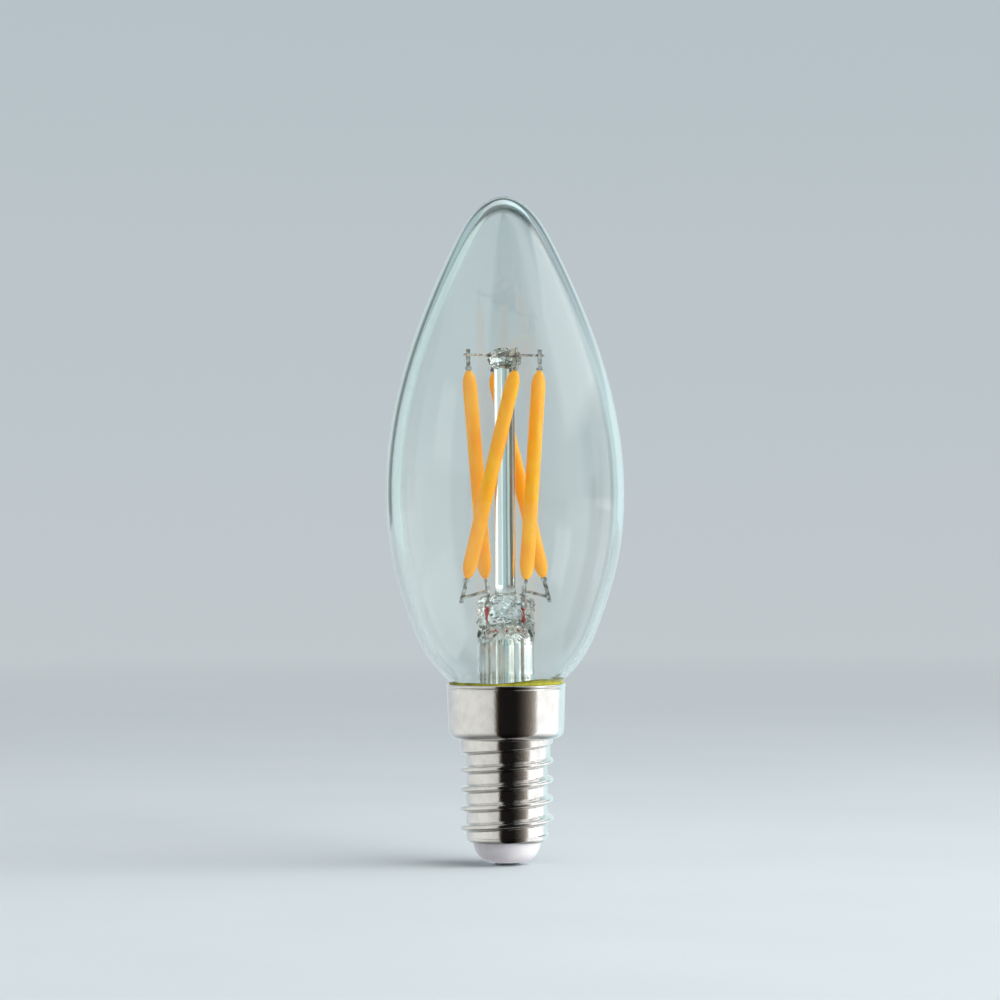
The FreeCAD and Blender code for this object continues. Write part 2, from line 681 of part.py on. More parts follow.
def support_wires():
    """Two straight wires that cross and touch inside the bead, each with a tab at both ends."""
    wires = []
    for index in (0, 1):
        tab = top_tab_path(index)[-1]
        heading, length = beside(Vector(0, 0, 0), tab, weld_gap(SUPPORT_DIAMETER))
        reach = heading * (length + SUPPORT_OVERHANG_LENGTH)
        height = Vector(0, 0, SUPPORT_HEIGHT - index * SUPPORT_DIAMETER)
        wires.append(rod(height - reach, height + reach, SUPPORT_DIAMETER))
    return wires


def glass_pillar():
    """Glass rod up from the press, with the bead that holds the support wires at its top."""
    radius = PILLAR_DIAMETER / 2
    bead = BEAD_DIAMETER / 2
    low = BEAD_HEIGHT - BEAD_THICKNESS / 2
    high = BEAD_HEIGHT + BEAD_THICKNESS / 2
    foot = Vector(0, 0, PRESS_TOP - PILLAR_ROOT_DEPTH)
    side_low = Vector(radius, 0, foot.z)
    side_high = Vector(radius, 0, low)
    widest = Vector(bead, 0, BEAD_HEIGHT)
    crown = Vector(0, 0, high)
    body = turned([
        line(foot, side_low),
        line(side_low, side_high),
        curve(side_high, Vector(bead, 0, low), widest),
        curve(widest, Vector(bead, 0, high), crown),
        line(crown, foot),
    ])
    for wire in support_wires():
        body = body.cut(wire)
    return body


def filament_ends(index):
    """The places of a filament's two tips, top first; its length sets how far they stand apart."""
    top = point(TOP_RING_DIAMETER / 2, TOP_ANGLES[index], 0)
    bottom = point(BOTTOM_RING_DIAMETER / 2, BOTTOM_ANGLES[index], 0)
    rise = math.sqrt(FILAMENT_LENGTH ** 2 - (top - bottom).Length ** 2)
    top.z = FILAMENT_MIDDLE + rise / 2
    bottom.z = FILAMENT_MIDDLE - rise / 2
    return top, bottom


def filament_blank():
    """A filament standing on the origin: a coated rod with a pointed end at each side."""
    side = FILAMENT_DIAMETER / 2
    tip = FILAMENT_TIP_DIAMETER / 2
    low = Vector(side, 0, FILAMENT_BOTTOM_TAPER_LENGTH)
    high = Vector(side, 0, FILAMENT_LENGTH - FILAMENT_TOP_TAPER_LENGTH)
    foot = Vector(tip, 0, 0)
    head = Vector(tip, 0, FILAMENT_LENGTH)
    low_corner = Vector(side, 0, FILAMENT_BOTTOM_TAPER_LENGTH * 0.35)
    high_corner = Vector(side, 0, FILAMENT_LENGTH - FILAMENT_TOP_TAPER_LENGTH * 0.35)
    return turned([
        line(Vector(0, 0, 0), foot),
        curve(foot, low_corner, low),
        line(low, high),
        curve(high, high_corner, head),
        line(head, Vector(0, 0, FILAMENT_LENGTH)),
        line(Vector(0, 0, FILAMENT_LENGTH), Vector(0, 0, 0)),
    ])


def led_filament(index):
    top, bottom = filament_ends(index)
    filament = filament_blank()
    turn = FreeCAD.Rotation(Vector(0, 0, 1), top - bottom)
    filament.Placement = FreeCAD.Placement(bottom, turn)
    return filament.cut(top_tab(index)).cut(bottom_tab(index))


def top_tab_path(index):
    """Root in the filament, knee just above it, and the upright end that meets the wire."""
    top, bottom = filament_ends(index)
    along = (top - bottom).normalize()
    knee = top + along * TAB_KNEE_LENGTH
    end = Vector(knee.x, knee.y, SUPPORT_HEIGHT + TAB_OVERHANG_LENGTH)
    return [top - along * TAB_ROOT_DEPTH, knee, end]


def bottom_tab_path(index):
    """The tab runs on in line with its filament until it has passed the wire."""
    top, bottom = filament_ends(index)
    along = (bottom - top).normalize()
    weld = weld_point(index)
    return [bottom - along * TAB_ROOT_DEPTH, weld + along * TAB_OVERHANG_LENGTH]


def weld_height(index):
    if index:
        return ARM_END_HEIGHT
    return LEAD_TOP + LEAD_DIAMETER - CROSS_DROP


def weld_point(index):
    """Where a filament's line comes down to the height of the wire that it is welded to."""
    top, bottom = filament_ends(index)
    along = (bottom - top).normalize()
    return bottom + along * ((bottom.z - weld_height(index)) / -along.z)


def strip(path, heading, width, thickness):
    """A flat strip through the places of a path, its wide side along the level heading."""
    aside = Vector(-heading.y, heading.x, 0)
    across = heading * (width / 2)
    through = aside * (thickness / 2)
    sections = []
    for place in path:
        corners = [place - across - through, place + across - through,
                   place + across + through, place - across + through]
        sections.append(Part.makePolygon(corners + corners[:1]))
    return Part.makeLoft(sections, True, True)


def crimp(tip, along, heading):
    """The folded metal at a tab's root, close to the filament's tip."""
    start = tip + along * CRIMP_CLEARANCE
    return strip([start, start + along * CRIMP_LENGTH], heading, CRIMP_WIDTH, CRIMP_THICKNESS)


def top_tab(index):
    top, bottom = filament_ends(index)
    path = top_tab_path(index)
    heading, length = beside(Vector(0, 0, 0), path[-1], weld_gap(SUPPORT_DIAMETER))
    folded = crimp(top, (top - bottom).normalize(), heading)
    return strip(path, heading, TAB_WIDTH, TAB_THICKNESS).fuse(folded).removeSplitter()


def lead_foot():
    return Vector(-LEAD_SPACING / 2, 0, SEAL_TOP)


def bottom_tab(index):
    top, bottom = filament_ends(index)
    path = bottom_tab_path(index)
    gap = weld_gap(LEAD_DIAMETER)
    if index:
        heading, length = beside(lead_foot(), weld_point(index), gap)
    else:
        heading = Vector(0, 1, 0)
    folded = crimp(bottom, (bottom - top).normalize(), heading)
    return strip(path, heading, TAB_WIDTH, TAB_THICKNESS).fuse(folded).removeSplitter()


def lead_wire():
    """Lead from the seal, up out of the press and out along a drooping arm to a filament."""
    foot = lead_foot()
    gap = weld_gap(LEAD_DIAMETER)
    heading, length = beside(foot, weld_point(1), gap)
    droop = (LEAD_TOP - ARM_END_HEIGHT) / length
    reach = length + ARM_OVERHANG_LENGTH
    corner = Vector(foot.x, foot.y, LEAD_TOP)
    end = corner + heading * reach - Vector(0, 0, droop * reach)
    return bent_wire([foot, corner, end], LEAD_DIAMETER, ARM_BEND_RADIUS)


def cross_wire():
    """Wire welded on top of the lead's bend, which reaches back to the second filament."""
    weld = weld_point(0)
    gap = weld_gap(LEAD_DIAMETER)
    x = weld.x + gap
    start = Vector(x, -CROSS_OVERHANG_LENGTH, LEAD_TOP + LEAD_DIAMETER)
    drop_per_length = (start.z - weld_height(0)) / (weld.y - start.y)
    end_y = weld.y + CROSS_OVERHANG_LENGTH
    end = Vector(x, end_y, start.z - drop_per_length * (end_y - start.y))
    return rod(start, end, LEAD_DIAMETER)


def seal_wire():
    foot = Vector(-LEAD_SPACING / 2, 0, SEAL_BOTTOM)
    return rod(foot, Vector(foot.x, 0, SEAL_TOP), SEAL_DIAMETER)


def outer_lead():
    """Lead from the seal down the flare tube, jogged to lie on the front of the driver board."""
    x = -LEAD_SPACING / 2
    y = FRONT * (BOARD_THICKNESS + OUTER_LEAD_DIAMETER) / 2
    step = BOARD_TOP + OUTER_LEAD_BEND_RADIUS * 2
    return bent_wire([
        Vector(x, 0, SEAL_BOTTOM),
        Vector(x, 0, step + OUTER_LEAD_BEND_RADIUS),
        Vector(x, y, step - OUTER_LEAD_BEND_RADIUS),
        Vector(x, y, BOARD_TOP - PAD_LENGTH),
    ], OUTER_LEAD_DIAMETER, OUTER_LEAD_BEND_RADIUS)


def driver_board():
    bottom = board_slot_floor() + SLOT_CLEARANCE
    return Part.makeBox(BOARD_WIDTH, BOARD_THICKNESS, BOARD_TOP - bottom,
                        Vector(-BOARD_WIDTH / 2, -BOARD_THICKNESS / 2, bottom))


def chip(size, bottom, centre, face, leg_places):
    """A moulded chip on one face of the board, with bent legs at its two sides."""
    width, depth, height = size
    board = face * BOARD_THICKNESS / 2
    near = board + face * BODY_CLEARANCE
    corner = Vector(centre - width / 2, min(near, near + face * depth), bottom)
    body = Part.makeBox(width, depth, height, corner)
    upright = [edge for edge in body.Edges if abs(edge.tangentAt(0).z) > 0.9]
    body = body.makeChamfer(min(width, depth) * 0.12, upright)
    top = board + face * (BODY_CLEARANCE + depth / 2)
    for side in (-1, 1):
        for share in leg_places:
            middle = bottom + height * share - LEG_WIDTH / 2
            inner = centre + side * (width / 2 - LEG_THICKNESS)
            outer = centre + side * (width / 2 + LEG_LENGTH)
            knee = centre + side * (width / 2 + LEG_LENGTH / 2)
            corners = [
                Vector(inner, top, middle),
                Vector(knee, top, middle),
                Vector(knee, board + face * LEG_THICKNESS, middle),
                Vector(outer, board + face * LEG_THICKNESS, middle),
                Vector(outer, board, middle),
                Vector(knee - side * LEG_THICKNESS, board, middle),
                Vector(knee - side * LEG_THICKNESS, top - face * LEG_THICKNESS, middle),
                Vector(inner, top - face * LEG_THICKNESS, middle),
            ]
            outline = Part.Face(Part.makePolygon(corners + corners[:1]))
            body = body.fuse(outline.extrude(Vector(0, 0, LEG_WIDTH)))
    return body.removeSplitter()


def bridge_rectifier():
    return chip(RECTIFIER_SIZE, RECTIFIER_BOTTOM, 0, BACK, (0.2, 0.8))


def driver_chip():
    return chip(DRIVER_CHIP_SIZE, DRIVER_CHIP_BOTTOM, DRIVER_CHIP_OFFSET, FRONT, (0.15, 0.38, 0.62, 0.85))


def smoothing_capacitor():
    """Round can against the back of the board, with both leads bent onto the board."""
    radius = CAPACITOR_DIAMETER / 2
    y = BACK * (BOARD_THICKNESS / 2 + radius + BODY_CLEARANCE)
    can = Part.makeCylinder(radius, CAPACITOR_HEIGHT, Vector(0, y, CAPACITOR_BOTTOM))
    rims = [edge for edge in can.Edges if edge.Curve.TypeId == "Part::GeomCircle"]
    can = can.makeFillet(radius * 0.15, rims)
    pad = BACK * (BOARD_THICKNESS + CAPACITOR_LEAD_DIAMETER) / 2
    lead_height = CAPACITOR_BOTTOM - CAPACITOR_LEAD_DIAMETER
    for side in (-1, 1):
        x = side * CAPACITOR_LEAD_SPACING / 2
        lead = bent_wire([
            Vector(x, y, CAPACITOR_BOTTOM + CAPACITOR_LEAD_DIAMETER),
            Vector(x, y, lead_height),
            Vector(x, pad - BACK * CAPACITOR_LEAD_DIAMETER / 2, lead_height),
        ], CAPACITOR_LEAD_DIAMETER, CAPACITOR_LEAD_DIAMETER)
        can = can.fuse(lead)
    return can


def fuse_resistor():
    """Fusible resistor in the live line: its lower lead is the wire to the centre contact."""
    axis = resistor_axis()
    cap_length = RESISTOR_LENGTH / 4
    top = RESISTOR_BOTTOM + RESISTOR_LENGTH
    body = turned_polygon([
        (0, RESISTOR_BOTTOM),
        (RESISTOR_WAIST_DIAMETER / 2, RESISTOR_BOTTOM),
        (RESISTOR_DIAMETER / 2, RESISTOR_BOTTOM + cap_length / 3),
        (RESISTOR_DIAMETER / 2, RESISTOR_BOTTOM + cap_length),
        (RESISTOR_WAIST_DIAMETER / 2, RESISTOR_BOTTOM + cap_length * 1.3),
        (RESISTOR_WAIST_DIAMETER / 2, top - cap_length * 1.3),
        (RESISTOR_DIAMETER / 2, top - cap_length),
        (RESISTOR_DIAMETER / 2, top - cap_length / 3),
        (RESISTOR_WAIST_DIAMETER / 2, top),
        (0, top),
    ])
    body.translate(axis)
    high, knee, end = resistor_lead_path()
    wire = RESISTOR_LEAD_DIAMETER
    lower = bent_wire([high + Vector(0, 0, wire), knee, end], wire, wire)
    lead_top = top + wire * 2
    upper = bent_wire([
        Vector(axis.x, axis.y, top - wire),
        Vector(axis.x, axis.y, lead_top),
        Vector(axis.x, FRONT * BOARD_THICKNESS / 2, lead_top),
    ], wire, wire)
    return body.fuse(lower).fuse(upper)


def neutral_wire():
    """Wire from the board's back out to the shell, where it lies against the land."""
    wall = THREAD_DIAMETER / 2 - SHEET - NEUTRAL_WIRE_DIAMETER / 2
    y = BACK * (BOARD_THICKNESS + NEUTRAL_WIRE_DIAMETER) / 2
    x = -math.sqrt(wall ** 2 - y ** 2)
    start_height = BOARD_TOP - PAD_LENGTH
    start_x = -BOARD_WIDTH / 2 + NEUTRAL_SEAT_LENGTH
    return bent_wire([
        Vector(start_x, y, start_height),
        Vector(start_x, y, BOARD_TOP + NEUTRAL_BEND_RADIUS),
        Vector(x, y, BOARD_TOP + NEUTRAL_BEND_RADIUS),
        Vector(x, y, BOARD_TOP + NEUTRAL_BEND_RADIUS + NEUTRAL_LENGTH),
    ], NEUTRAL_WIRE_DIAMETER, NEUTRAL_BEND_RADIUS)


def pieces():
    """Every piece of the bulb by its name."""
    made = {
        "glass_envelope": glass_envelope(),
        "cap_shell": cap_shell(),
        "cement_ring": cement_ring(),
        "insulator": insulator(),
        "centre_contact": centre_contact(),
        "glass_stem": glass_stem(),
        "exhaust_tube": exhaust_tube(),
        "glass_pillar": glass_pillar(),
        "driver_board": driver_board(),
        "bridge_rectifier": bridge_rectifier(),
        "driver_chip": driver_chip(),
        "smoothing_capacitor": smoothing_capacitor(),
        "fuse_resistor": fuse_resistor(),
        "neutral_wire": neutral_wire(),
    }
    made["support_wire_side"], made["support_wire_front"] = support_wires()
    for number in (1, 2):
        index = number - 1
        for other, turn in ((number, Part.Shape.copy), (number + 2, half_turn)):
            made["led_filament_%d" % other] = turn(led_filament(index))
            made["top_tab_%d" % other] = turn(top_tab(index))
            made["bottom_tab_%d" % other] = turn(bottom_tab(index))
    for side, turn in (("left", Part.Shape.copy), ("right", half_turn)):
        made["lead_wire_" + side] = turn(lead_wire())
        made["cross_wire_" + side] = turn(cross_wire())
        made["seal_wire_" + side] = turn(seal_wire())
    left = outer_lead()
    made["outer_lead_left"] = left
    made["outer_lead_right"] = left.mirror(Vector(0, 0, 0), Vector(1, 0, 0))
    return made


os.makedirs("parts", exist_ok=True)
for name, shape in pieces().items():
    print(name, shape.isValid(), len(shape.Solids), round(shape.Volume, 3))
    shape.exportStep(os.path.join("parts", name + ".step"))
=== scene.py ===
"""Clear candle-shaped filament bulb on a small screw cap, dressed for its picture.

The bulb stands on its centre contact at the origin with its axis along +Z, and the camera
looks along +Y. Sizes are written in millimetres and turned to metres by MM.
"""

import json
import math

import bpy
import numpy as np
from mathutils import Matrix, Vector


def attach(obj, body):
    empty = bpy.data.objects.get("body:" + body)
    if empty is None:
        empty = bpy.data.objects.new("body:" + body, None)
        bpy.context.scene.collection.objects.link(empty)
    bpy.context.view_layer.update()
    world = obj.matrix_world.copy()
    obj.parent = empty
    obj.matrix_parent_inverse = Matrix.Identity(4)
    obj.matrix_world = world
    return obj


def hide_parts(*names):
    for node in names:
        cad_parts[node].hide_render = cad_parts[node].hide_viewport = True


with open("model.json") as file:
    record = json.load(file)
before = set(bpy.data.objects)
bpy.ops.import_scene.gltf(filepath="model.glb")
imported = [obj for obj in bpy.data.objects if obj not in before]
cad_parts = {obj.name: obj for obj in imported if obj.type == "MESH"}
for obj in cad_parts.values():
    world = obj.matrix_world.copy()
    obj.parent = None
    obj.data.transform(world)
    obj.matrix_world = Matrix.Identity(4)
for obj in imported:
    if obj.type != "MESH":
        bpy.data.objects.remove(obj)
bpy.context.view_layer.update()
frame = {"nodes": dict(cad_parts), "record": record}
NODES = frame["nodes"]
MM = 0.001

# Glass envelope
BULB_LENGTH = 98.2
GLASS_DIAMETER = 34.99
GLASS_WALL = 0.8
GLASS_TIP_WALL = 1.1
NECK_DIAMETER = 16.0
NECK_BOTTOM = 20.6
NECK_TOP = 26.4
LOWER_OUTLINE = [(0.018, 0.112), (0.049, 0.318), (0.146, 0.663), (0.245, 0.886), (0.375, 1.0)]
UPPER_OUTLINE = [(0.538, 0.949), (0.669, 0.817), (0.799, 0.616), (0.901, 0.42), (0.962, 0.268),
                 (0.986, 0.165)]

# Screw cap: a valley of the thread passes the +X side at VALLEY_HEIGHT, VALLEY_TURNS up the thread
SHEET = 0.25
THREAD_RADIUS = 6.85
THREAD_ROOT_RADIUS = 6.0
THREAD_PITCH = 2.822
VALLEY_HEIGHT = 5.47
VALLEY_TURNS = 2
CREST_HALF_WIDTH = 0.05
RIDGE_HALF_WIDTH = 0.7
RIDGE_ROUNDNESS = 1.9
FADE_IN_TURNS = (0.8, 1.5)
RUN_OUT_TURNS = (5.65, 6.35)
BARREL_BOTTOM = 4.2
THREAD_BOTTOM = 4.9
LAND_EDGE = 6.16
LIP_HEIGHT = 3.35
COLLAR_BOTTOM = 18.55
COLLAR_TOP = 26.65
COLLAR_RADIUS = 8.5
COLLAR_TOP_RADIUS = 8.7
RIM_ROLL = [(8.68, 25.98), (8.64, 26.06), (8.67, 26.14), (8.74, 26.24), (8.78, 26.36), (8.76, 26.5),
            (8.68, 26.6), (8.56, 26.65), (8.44, 26.6)]

# Cement, insulator and contact
CEMENT_BOTTOM = 22.0
CEMENT_HEIGHT = 0.45
CEMENT_RISE = 0.6
GLASS_SPREAD = 0.44
MOUTH_RADIUS = 5.02
INSULATOR_BOTTOM = 0.45
INSULATOR_TOP = 5.4
CONTACT_RADIUS = 1.94
SHANK_RADIUS = 1.1
SHANK_TOP = 3.5

# Stem, press, pillar
STEM_RADIUS = 4.15
STEM_WALL = 1.0
FLARE_TOP = 25.2
PRESS_SHOULDER = 33.6
PRESS_BOTTOM = 36.2
PRESS_TOP = 39.8
PRESS_THICKNESS = 3.6
STEM_CAVITY_TOP = 34.7
FLARE_RADIUS = 7.15
FLARE_HEIGHT = 21.5
FLARE_EDGE = [(7.18, 21.3), (7.18, 20.75), (7.05, 20.6), (6.4, 20.6)]
EXHAUST_TIP = 17.2
EXHAUST_RADIUS = 1.45
EXHAUST_BORE = 0.85
PILLAR_RADIUS = 1.5
BEAD_HEIGHT = 74.4
BEAD_RADIUS = 2.35
BEAD_ROUNDING = 1.3

# Lumps of the worked glass: where they ease in, and the size, depth and seed of each layer
PRESS_LUMPS_FROM = (33.0, 34.4)
PRESS_LUMPS = [(1.15, 0.55, 3), (0.55, 0.16, 5)]
BEAD_LUMPS_FROM = (72.6, 73.6)
BEAD_LUMPS = [(0.95, 0.45, 7), (0.5, 0.12, 9)]

# Filaments: the places of their ends, as in the source
FILAMENT_RADIUS = 1.05
FILAMENT_LENGTH = 31.3
FILAMENT_MIDDLE = 57.3
TOP_RING = 5.45
BOTTOM_RING = 5.8
TOP_ANGLES = [197.2, 287.2]
BOTTOM_ANGLES = [121.0, 194.0]

# Stage: a round floor that curves up into a wall, and the ring of cards
FLOOR_RADIUS = 1500
WALL_RADIUS = 2100
SWEEP_HEIGHT = 700
WALL_TOP = 1500
CARD_DISTANCE = 1200

# Rays through more faces of glass than this see the studio's bands; the envelope has four
FACES_PASSED = 5.5
BAND_POWER = 2.1

# Colours round the room, each at an azimuth in degrees from the camera's side; right is positive
WORKED_GLASS_BANDS = [
    (-180, "#7A8C94"), (-172, "#635F5A"), (-158, "#72685C"), (-154, "#121312"), (-147, "#121312"),
    (-142, "#77736C"), (-130, "#77736C"), (-124, "#121312"), (-114, "#121312"), (-104, "#C8CCCC"),
    (-62, "#868B8D"), (-42, "#767B7D"), (-35, "#101110"), (-22, "#101110"), (-13, "#7E9098"),
    (13, "#7E9098"), (22, "#0E0E0D"), (36, "#0E0E0D"), (43, "#767B7D"), (54, "#767B7D"),
    (61, "#FFFFFF"), (164, "#FFFFFF"), (173, "#7E9098"), (180, "#7A8C94")]
METAL_LOW_BANDS = [
    (-180, "#BFCBCF"), (-150, "#B6BCC0"), (-137, "#C0C4C8"), (-110, "#CFD0CD"), (-60, "#CFCFCB"),
    (-40, "#C8C8C4"), (-25, "#BEBDB9"), (-20, "#5E5246"), (-16, "#171513"), (20, "#141210"),
    (28, "#272321"), (38, "#48423B"), (49, "#716B63"), (59, "#A8A199"), (66, "#FFFFFF"),
    (122, "#FFFFFF"), (130, "#D6E9EE"), (165, "#CADCE0"), (180, "#BFCBCF")]
METAL_HIGH_BANDS = [
    (-180, "#C4D0D3"), (-150, "#B2B8BA"), (-120, "#AEB4B6"), (-108, "#C6C8C6"), (-26, "#BDBDB9"),
    (-19, "#1A1A1A"), (16, "#101010"), (23, "#4A4C4E"), (44, "#8A8885"), (58, "#E2DFDC"),
    (78, "#ECEAE8"), (87, "#55616A"), (116, "#46525A"), (126, "#8FA3A8"), (140, "#CFE4E8"),
    (160, "#D4E6E9"), (180, "#C4D0D3")]
MATT_LOW_BANDS = [
    (-180, "#8A8D90"), (-90, "#FFFFFF"), (-45, "#B4B8BC"), (0, "#202428"), (40, "#6E7072"),
    (90, "#FFFFFF"), (180, "#8A8D90")]
MATT_HIGH_BANDS = [
    (-180, "#9FA2A5"), (-90, "#4C4F52"), (0, "#7C7F82"), (90, "#FFFFFF"), (180, "#A9ACAF")]

# Camera: its place, its lens and sensor, and its small turn round its own view in degrees
CAMERA_PLACE = (-0.73, -600.0, 53.6)
CAMERA_LENS = 147.0
CAMERA_SENSOR = 36.0
CAMERA_ROLL = 0.35


# Outlines

def smooth_line(points, start, end, count):
    """Places along the smooth curve through the points, leaving and arriving along two ways."""
    places = np.array(points, float)
    steps = np.linalg.norm(np.diff(places, axis=0), axis=1)
    along = np.concatenate([[0.0], np.cumsum(steps)])
    size = len(places)
    system = np.zeros((size, size))
    target = np.zeros((size, 2))
    system[0, 0] = system[-1, -1] = 1.0
    target[0] = np.array(start) / np.linalg.norm(start)
    target[-1] = np.array(end) / np.linalg.norm(end)
    for i in range(1, size - 1):
        before, after = steps[i - 1], steps[i]
        system[i, i - 1] = after
        system[i, i] = 2 * (before + after)
        system[i, i + 1] = before
        target[i] = 3 * (after * (places[i] - places[i - 1]) / before
                         + before * (places[i + 1] - places[i]) / after)
    slopes = np.linalg.solve(system, target)
    found = []
    for place in np.linspace(0, along[-1], count):
        i = min(int(np.searchsorted(along, place, side="right")) - 1, size - 2)
        step = steps[i]
        t = (place - along[i]) / step
        found.append(places[i] * (1 + 2 * t) * (1 - t) ** 2
                     + slopes[i] * step * t * (1 - t) ** 2
                     + places[i + 1] * t * t * (3 - 2 * t)
                     + slopes[i + 1] * step * t * t * (t - 1))
    return found


def bend(start, corner, end, count=8):
    """Places along a smooth bend from start to end that follows both sides of the corner."""
    start, corner, end = (np.array(place, float) for place in (start, corner, end))
    return [start * (1 - t) ** 2 + corner * 2 * t * (1 - t) + end * t * t
            for t in np.linspace(0, 1, count)]


def even(start, end, count):
    """Places at even steps along a straight run."""
    start, end = np.array(start, float), np.array(end, float)
    return [start + (end - start) * t for t in np.linspace(0, 1, count)]


def thinned(places):
    """The outline without places that repeat the one before."""
    kept = [places[0]]
    for place in places[1:]:
        if np.linalg.norm(np.array(place) - np.array(kept[-1])) > 1e-4:
            kept.append(place)
    return kept


# Modelling steps

def fresh(adder, name, **where):
    """A new primitive by itself in the selection, under its own name."""
    bpy.ops.object.select_all(action="DESELECT")
    adder(**where)
    piece = bpy.context.object
    piece.name = name
    piece.data.name = name
    return piece


def spun(name, outline, steps):
    """A piece turned once round the axis from an outline of (radius, height) places."""
    piece = fresh(bpy.ops.mesh.primitive_plane_add, name, size=MM)
    outline = thinned(outline)
    bpy.ops.object.mode_set(mode="EDIT")
    bpy.ops.mesh.select_all(action="SELECT")
    bpy.ops.mesh.merge(type="CENTER")
    first = outline[0]
    bpy.ops.transform.translate(value=(first[0] * MM, 0, first[1] * MM))
    for before, after in zip(outline, outline[1:]):
        step = ((after[0] - before[0]) * MM, 0, (after[1] - before[1]) * MM)
        bpy.ops.mesh.extrude_region_move(TRANSFORM_OT_translate={"value": step})
    bpy.ops.mesh.select_all(action="SELECT")
    bpy.ops.mesh.spin(steps=steps, angle=2 * math.pi, center=(0, 0, 0), axis=(0, 0, 1))
    bpy.ops.mesh.select_all(action="SELECT")
    bpy.ops.mesh.remove_doubles(threshold=0.001 * MM)
    bpy.ops.mesh.normals_make_consistent(inside=False)
    bpy.ops.object.mode_set(mode="OBJECT")
    return piece


def smooth(piece, degrees=40):
    """Soft shading over curves, with creases kept at corners."""
    bpy.ops.object.select_all(action="DESELECT")
    piece.select_set(True)
    bpy.context.view_layer.objects.active = piece
    bpy.ops.object.shade_smooth_by_angle(angle=math.radians(degrees))
    return piece


def applied(piece, kind, **settings):
    """Adds a modifier with its settings and makes it part of the mesh."""
    bpy.ops.object.select_all(action="DESELECT")
    piece.select_set(True)
    bpy.context.view_layer.objects.active = piece
    modifier = piece.modifiers.new(kind.title(), kind)
    for name, value in settings.items():
        setattr(modifier, name, value)
    bpy.ops.object.modifier_apply(modifier=modifier.name)


def wander(piece, size, depth, seed, group=""):
    """Uneven surface of melted glass or cured silicone: bumps of a size, up to a depth, in mm."""
    texture = bpy.data.textures.new(piece.name + "_unevenness", "CLOUDS")
    texture.noise_scale = size * MM
    texture.noise_depth = 1
    guide = bpy.data.objects.new(piece.name + "_guide", None)
    guide.location = (seed * 0.13, seed * 0.07, seed * 0.11)
    bpy.context.scene.collection.objects.link(guide)
    applied(piece, "DISPLACE", texture=texture, texture_coords="OBJECT",
            texture_coords_object=guide, strength=2 * depth * MM, mid_level=0.5, vertex_group=group)
    bpy.data.objects.remove(guide)


def lumpy(piece, name, heights, layers):
    """Lumps of melted glass above a height, coarse ones first, eased in between two heights."""
    group = piece.vertex_groups.new(name=name)
    for vertex in piece.data.vertices:
        group.add([vertex.index], ease(vertex.co.z / MM, *heights), "REPLACE")
    for size, depth, seed in layers:
        wander(piece, size, depth, seed, name)


def ease(value, low, high):
    """0 below low, 1 above high, and a smooth rise between them."""
    share = min(max((value - low) / (high - low), 0.0), 1.0)
    return share * share * (3 - 2 * share)


# Materials

def colour(code):
    """Linear colour of an sRGB hex value."""
    parts = [int(code[i:i + 2], 16) / 255 for i in (1, 3, 5)]
    return tuple(p / 12.92 if p <= 0.04045 else ((p + 0.055) / 1.055) ** 2.4 for p in parts) + (1,)


def add_node(tree, kind, inputs=None, **settings):
    """Adds one node, with its settings, and with sockets set to values or linked to others."""
    made = tree.nodes.new(kind)
    for name, value in settings.items():
        setattr(made, name, value)
    for socket, value in (inputs or {}).items():
        if isinstance(value, bpy.types.NodeSocket):
            tree.links.new(value, made.inputs[socket])
        else:
            made.inputs[socket].default_value = value
    return made


def new_material(name):
    """An empty material with its output, and Object coordinates in metres."""
    material = bpy.data.materials.new(name)
    material.use_nodes = True
    tree = material.node_tree
    tree.nodes.clear()
    output = add_node(tree, "ShaderNodeOutputMaterial")
    place = add_node(tree, "ShaderNodeTexCoord").outputs["Object"]
    return material, tree, output, place


def ramp(tree, factor, stops):
    """Colours along a factor; stops are (place, hex value)."""
    made = add_node(tree, "ShaderNodeValToRGB", {"Fac": factor})
    points = made.color_ramp.elements
    while len(points) > 1:
        points.remove(points[-1])
    points[0].position, points[0].color = stops[0][0], colour(stops[0][1])
    for position, code in stops[1:]:
        points.new(position).color = colour(code)
    return made.outputs["Color"]


def noise(tree, place, size, detail=2.0, roughness=0.5, squeeze=(1, 1, 1)):
    """Noise whose spots are about the given size in millimetres, made shorter along an axis by
    a factor over 1 and longer by one under 1."""
    scaled = add_node(tree, "ShaderNodeMapping", {"Vector": place, "Scale": squeeze})
    return add_node(tree, "ShaderNodeTexNoise", {
        "Vector": scaled.outputs["Vector"], "Scale": 1 / (size * MM), "Detail": detail,
        "Roughness": roughness,
    }).outputs["Fac"]


def reckoned(tree, operation, *values):
    """The outcome of one maths node."""
    return add_node(tree, "ShaderNodeMath", dict(enumerate(values)), operation=operation).outputs[0]


def mixed(tree, share, first, second):
    """The first colour at share 0, the second at 1."""
    return add_node(tree, "ShaderNodeMix", {0: share, 6: first, 7: second},
                    data_type="RGBA").outputs[2]


def level(tree, value, low, high, to_low, to_high):
    """A factor carried from one range to another."""
    return add_node(tree, "ShaderNodeMapRange", {
        "Value": value, "From Min": low, "From Max": high, "To Min": to_low, "To Max": to_high,
    }).outputs["Result"]


def bumped(tree, height, depth):
    """Normals for a height factor whose full swing is the depth in millimetres."""
    return add_node(tree, "ShaderNodeBump", {
        "Height": height, "Strength": 1.0, "Distance": depth * MM,
    }).outputs["Normal"]


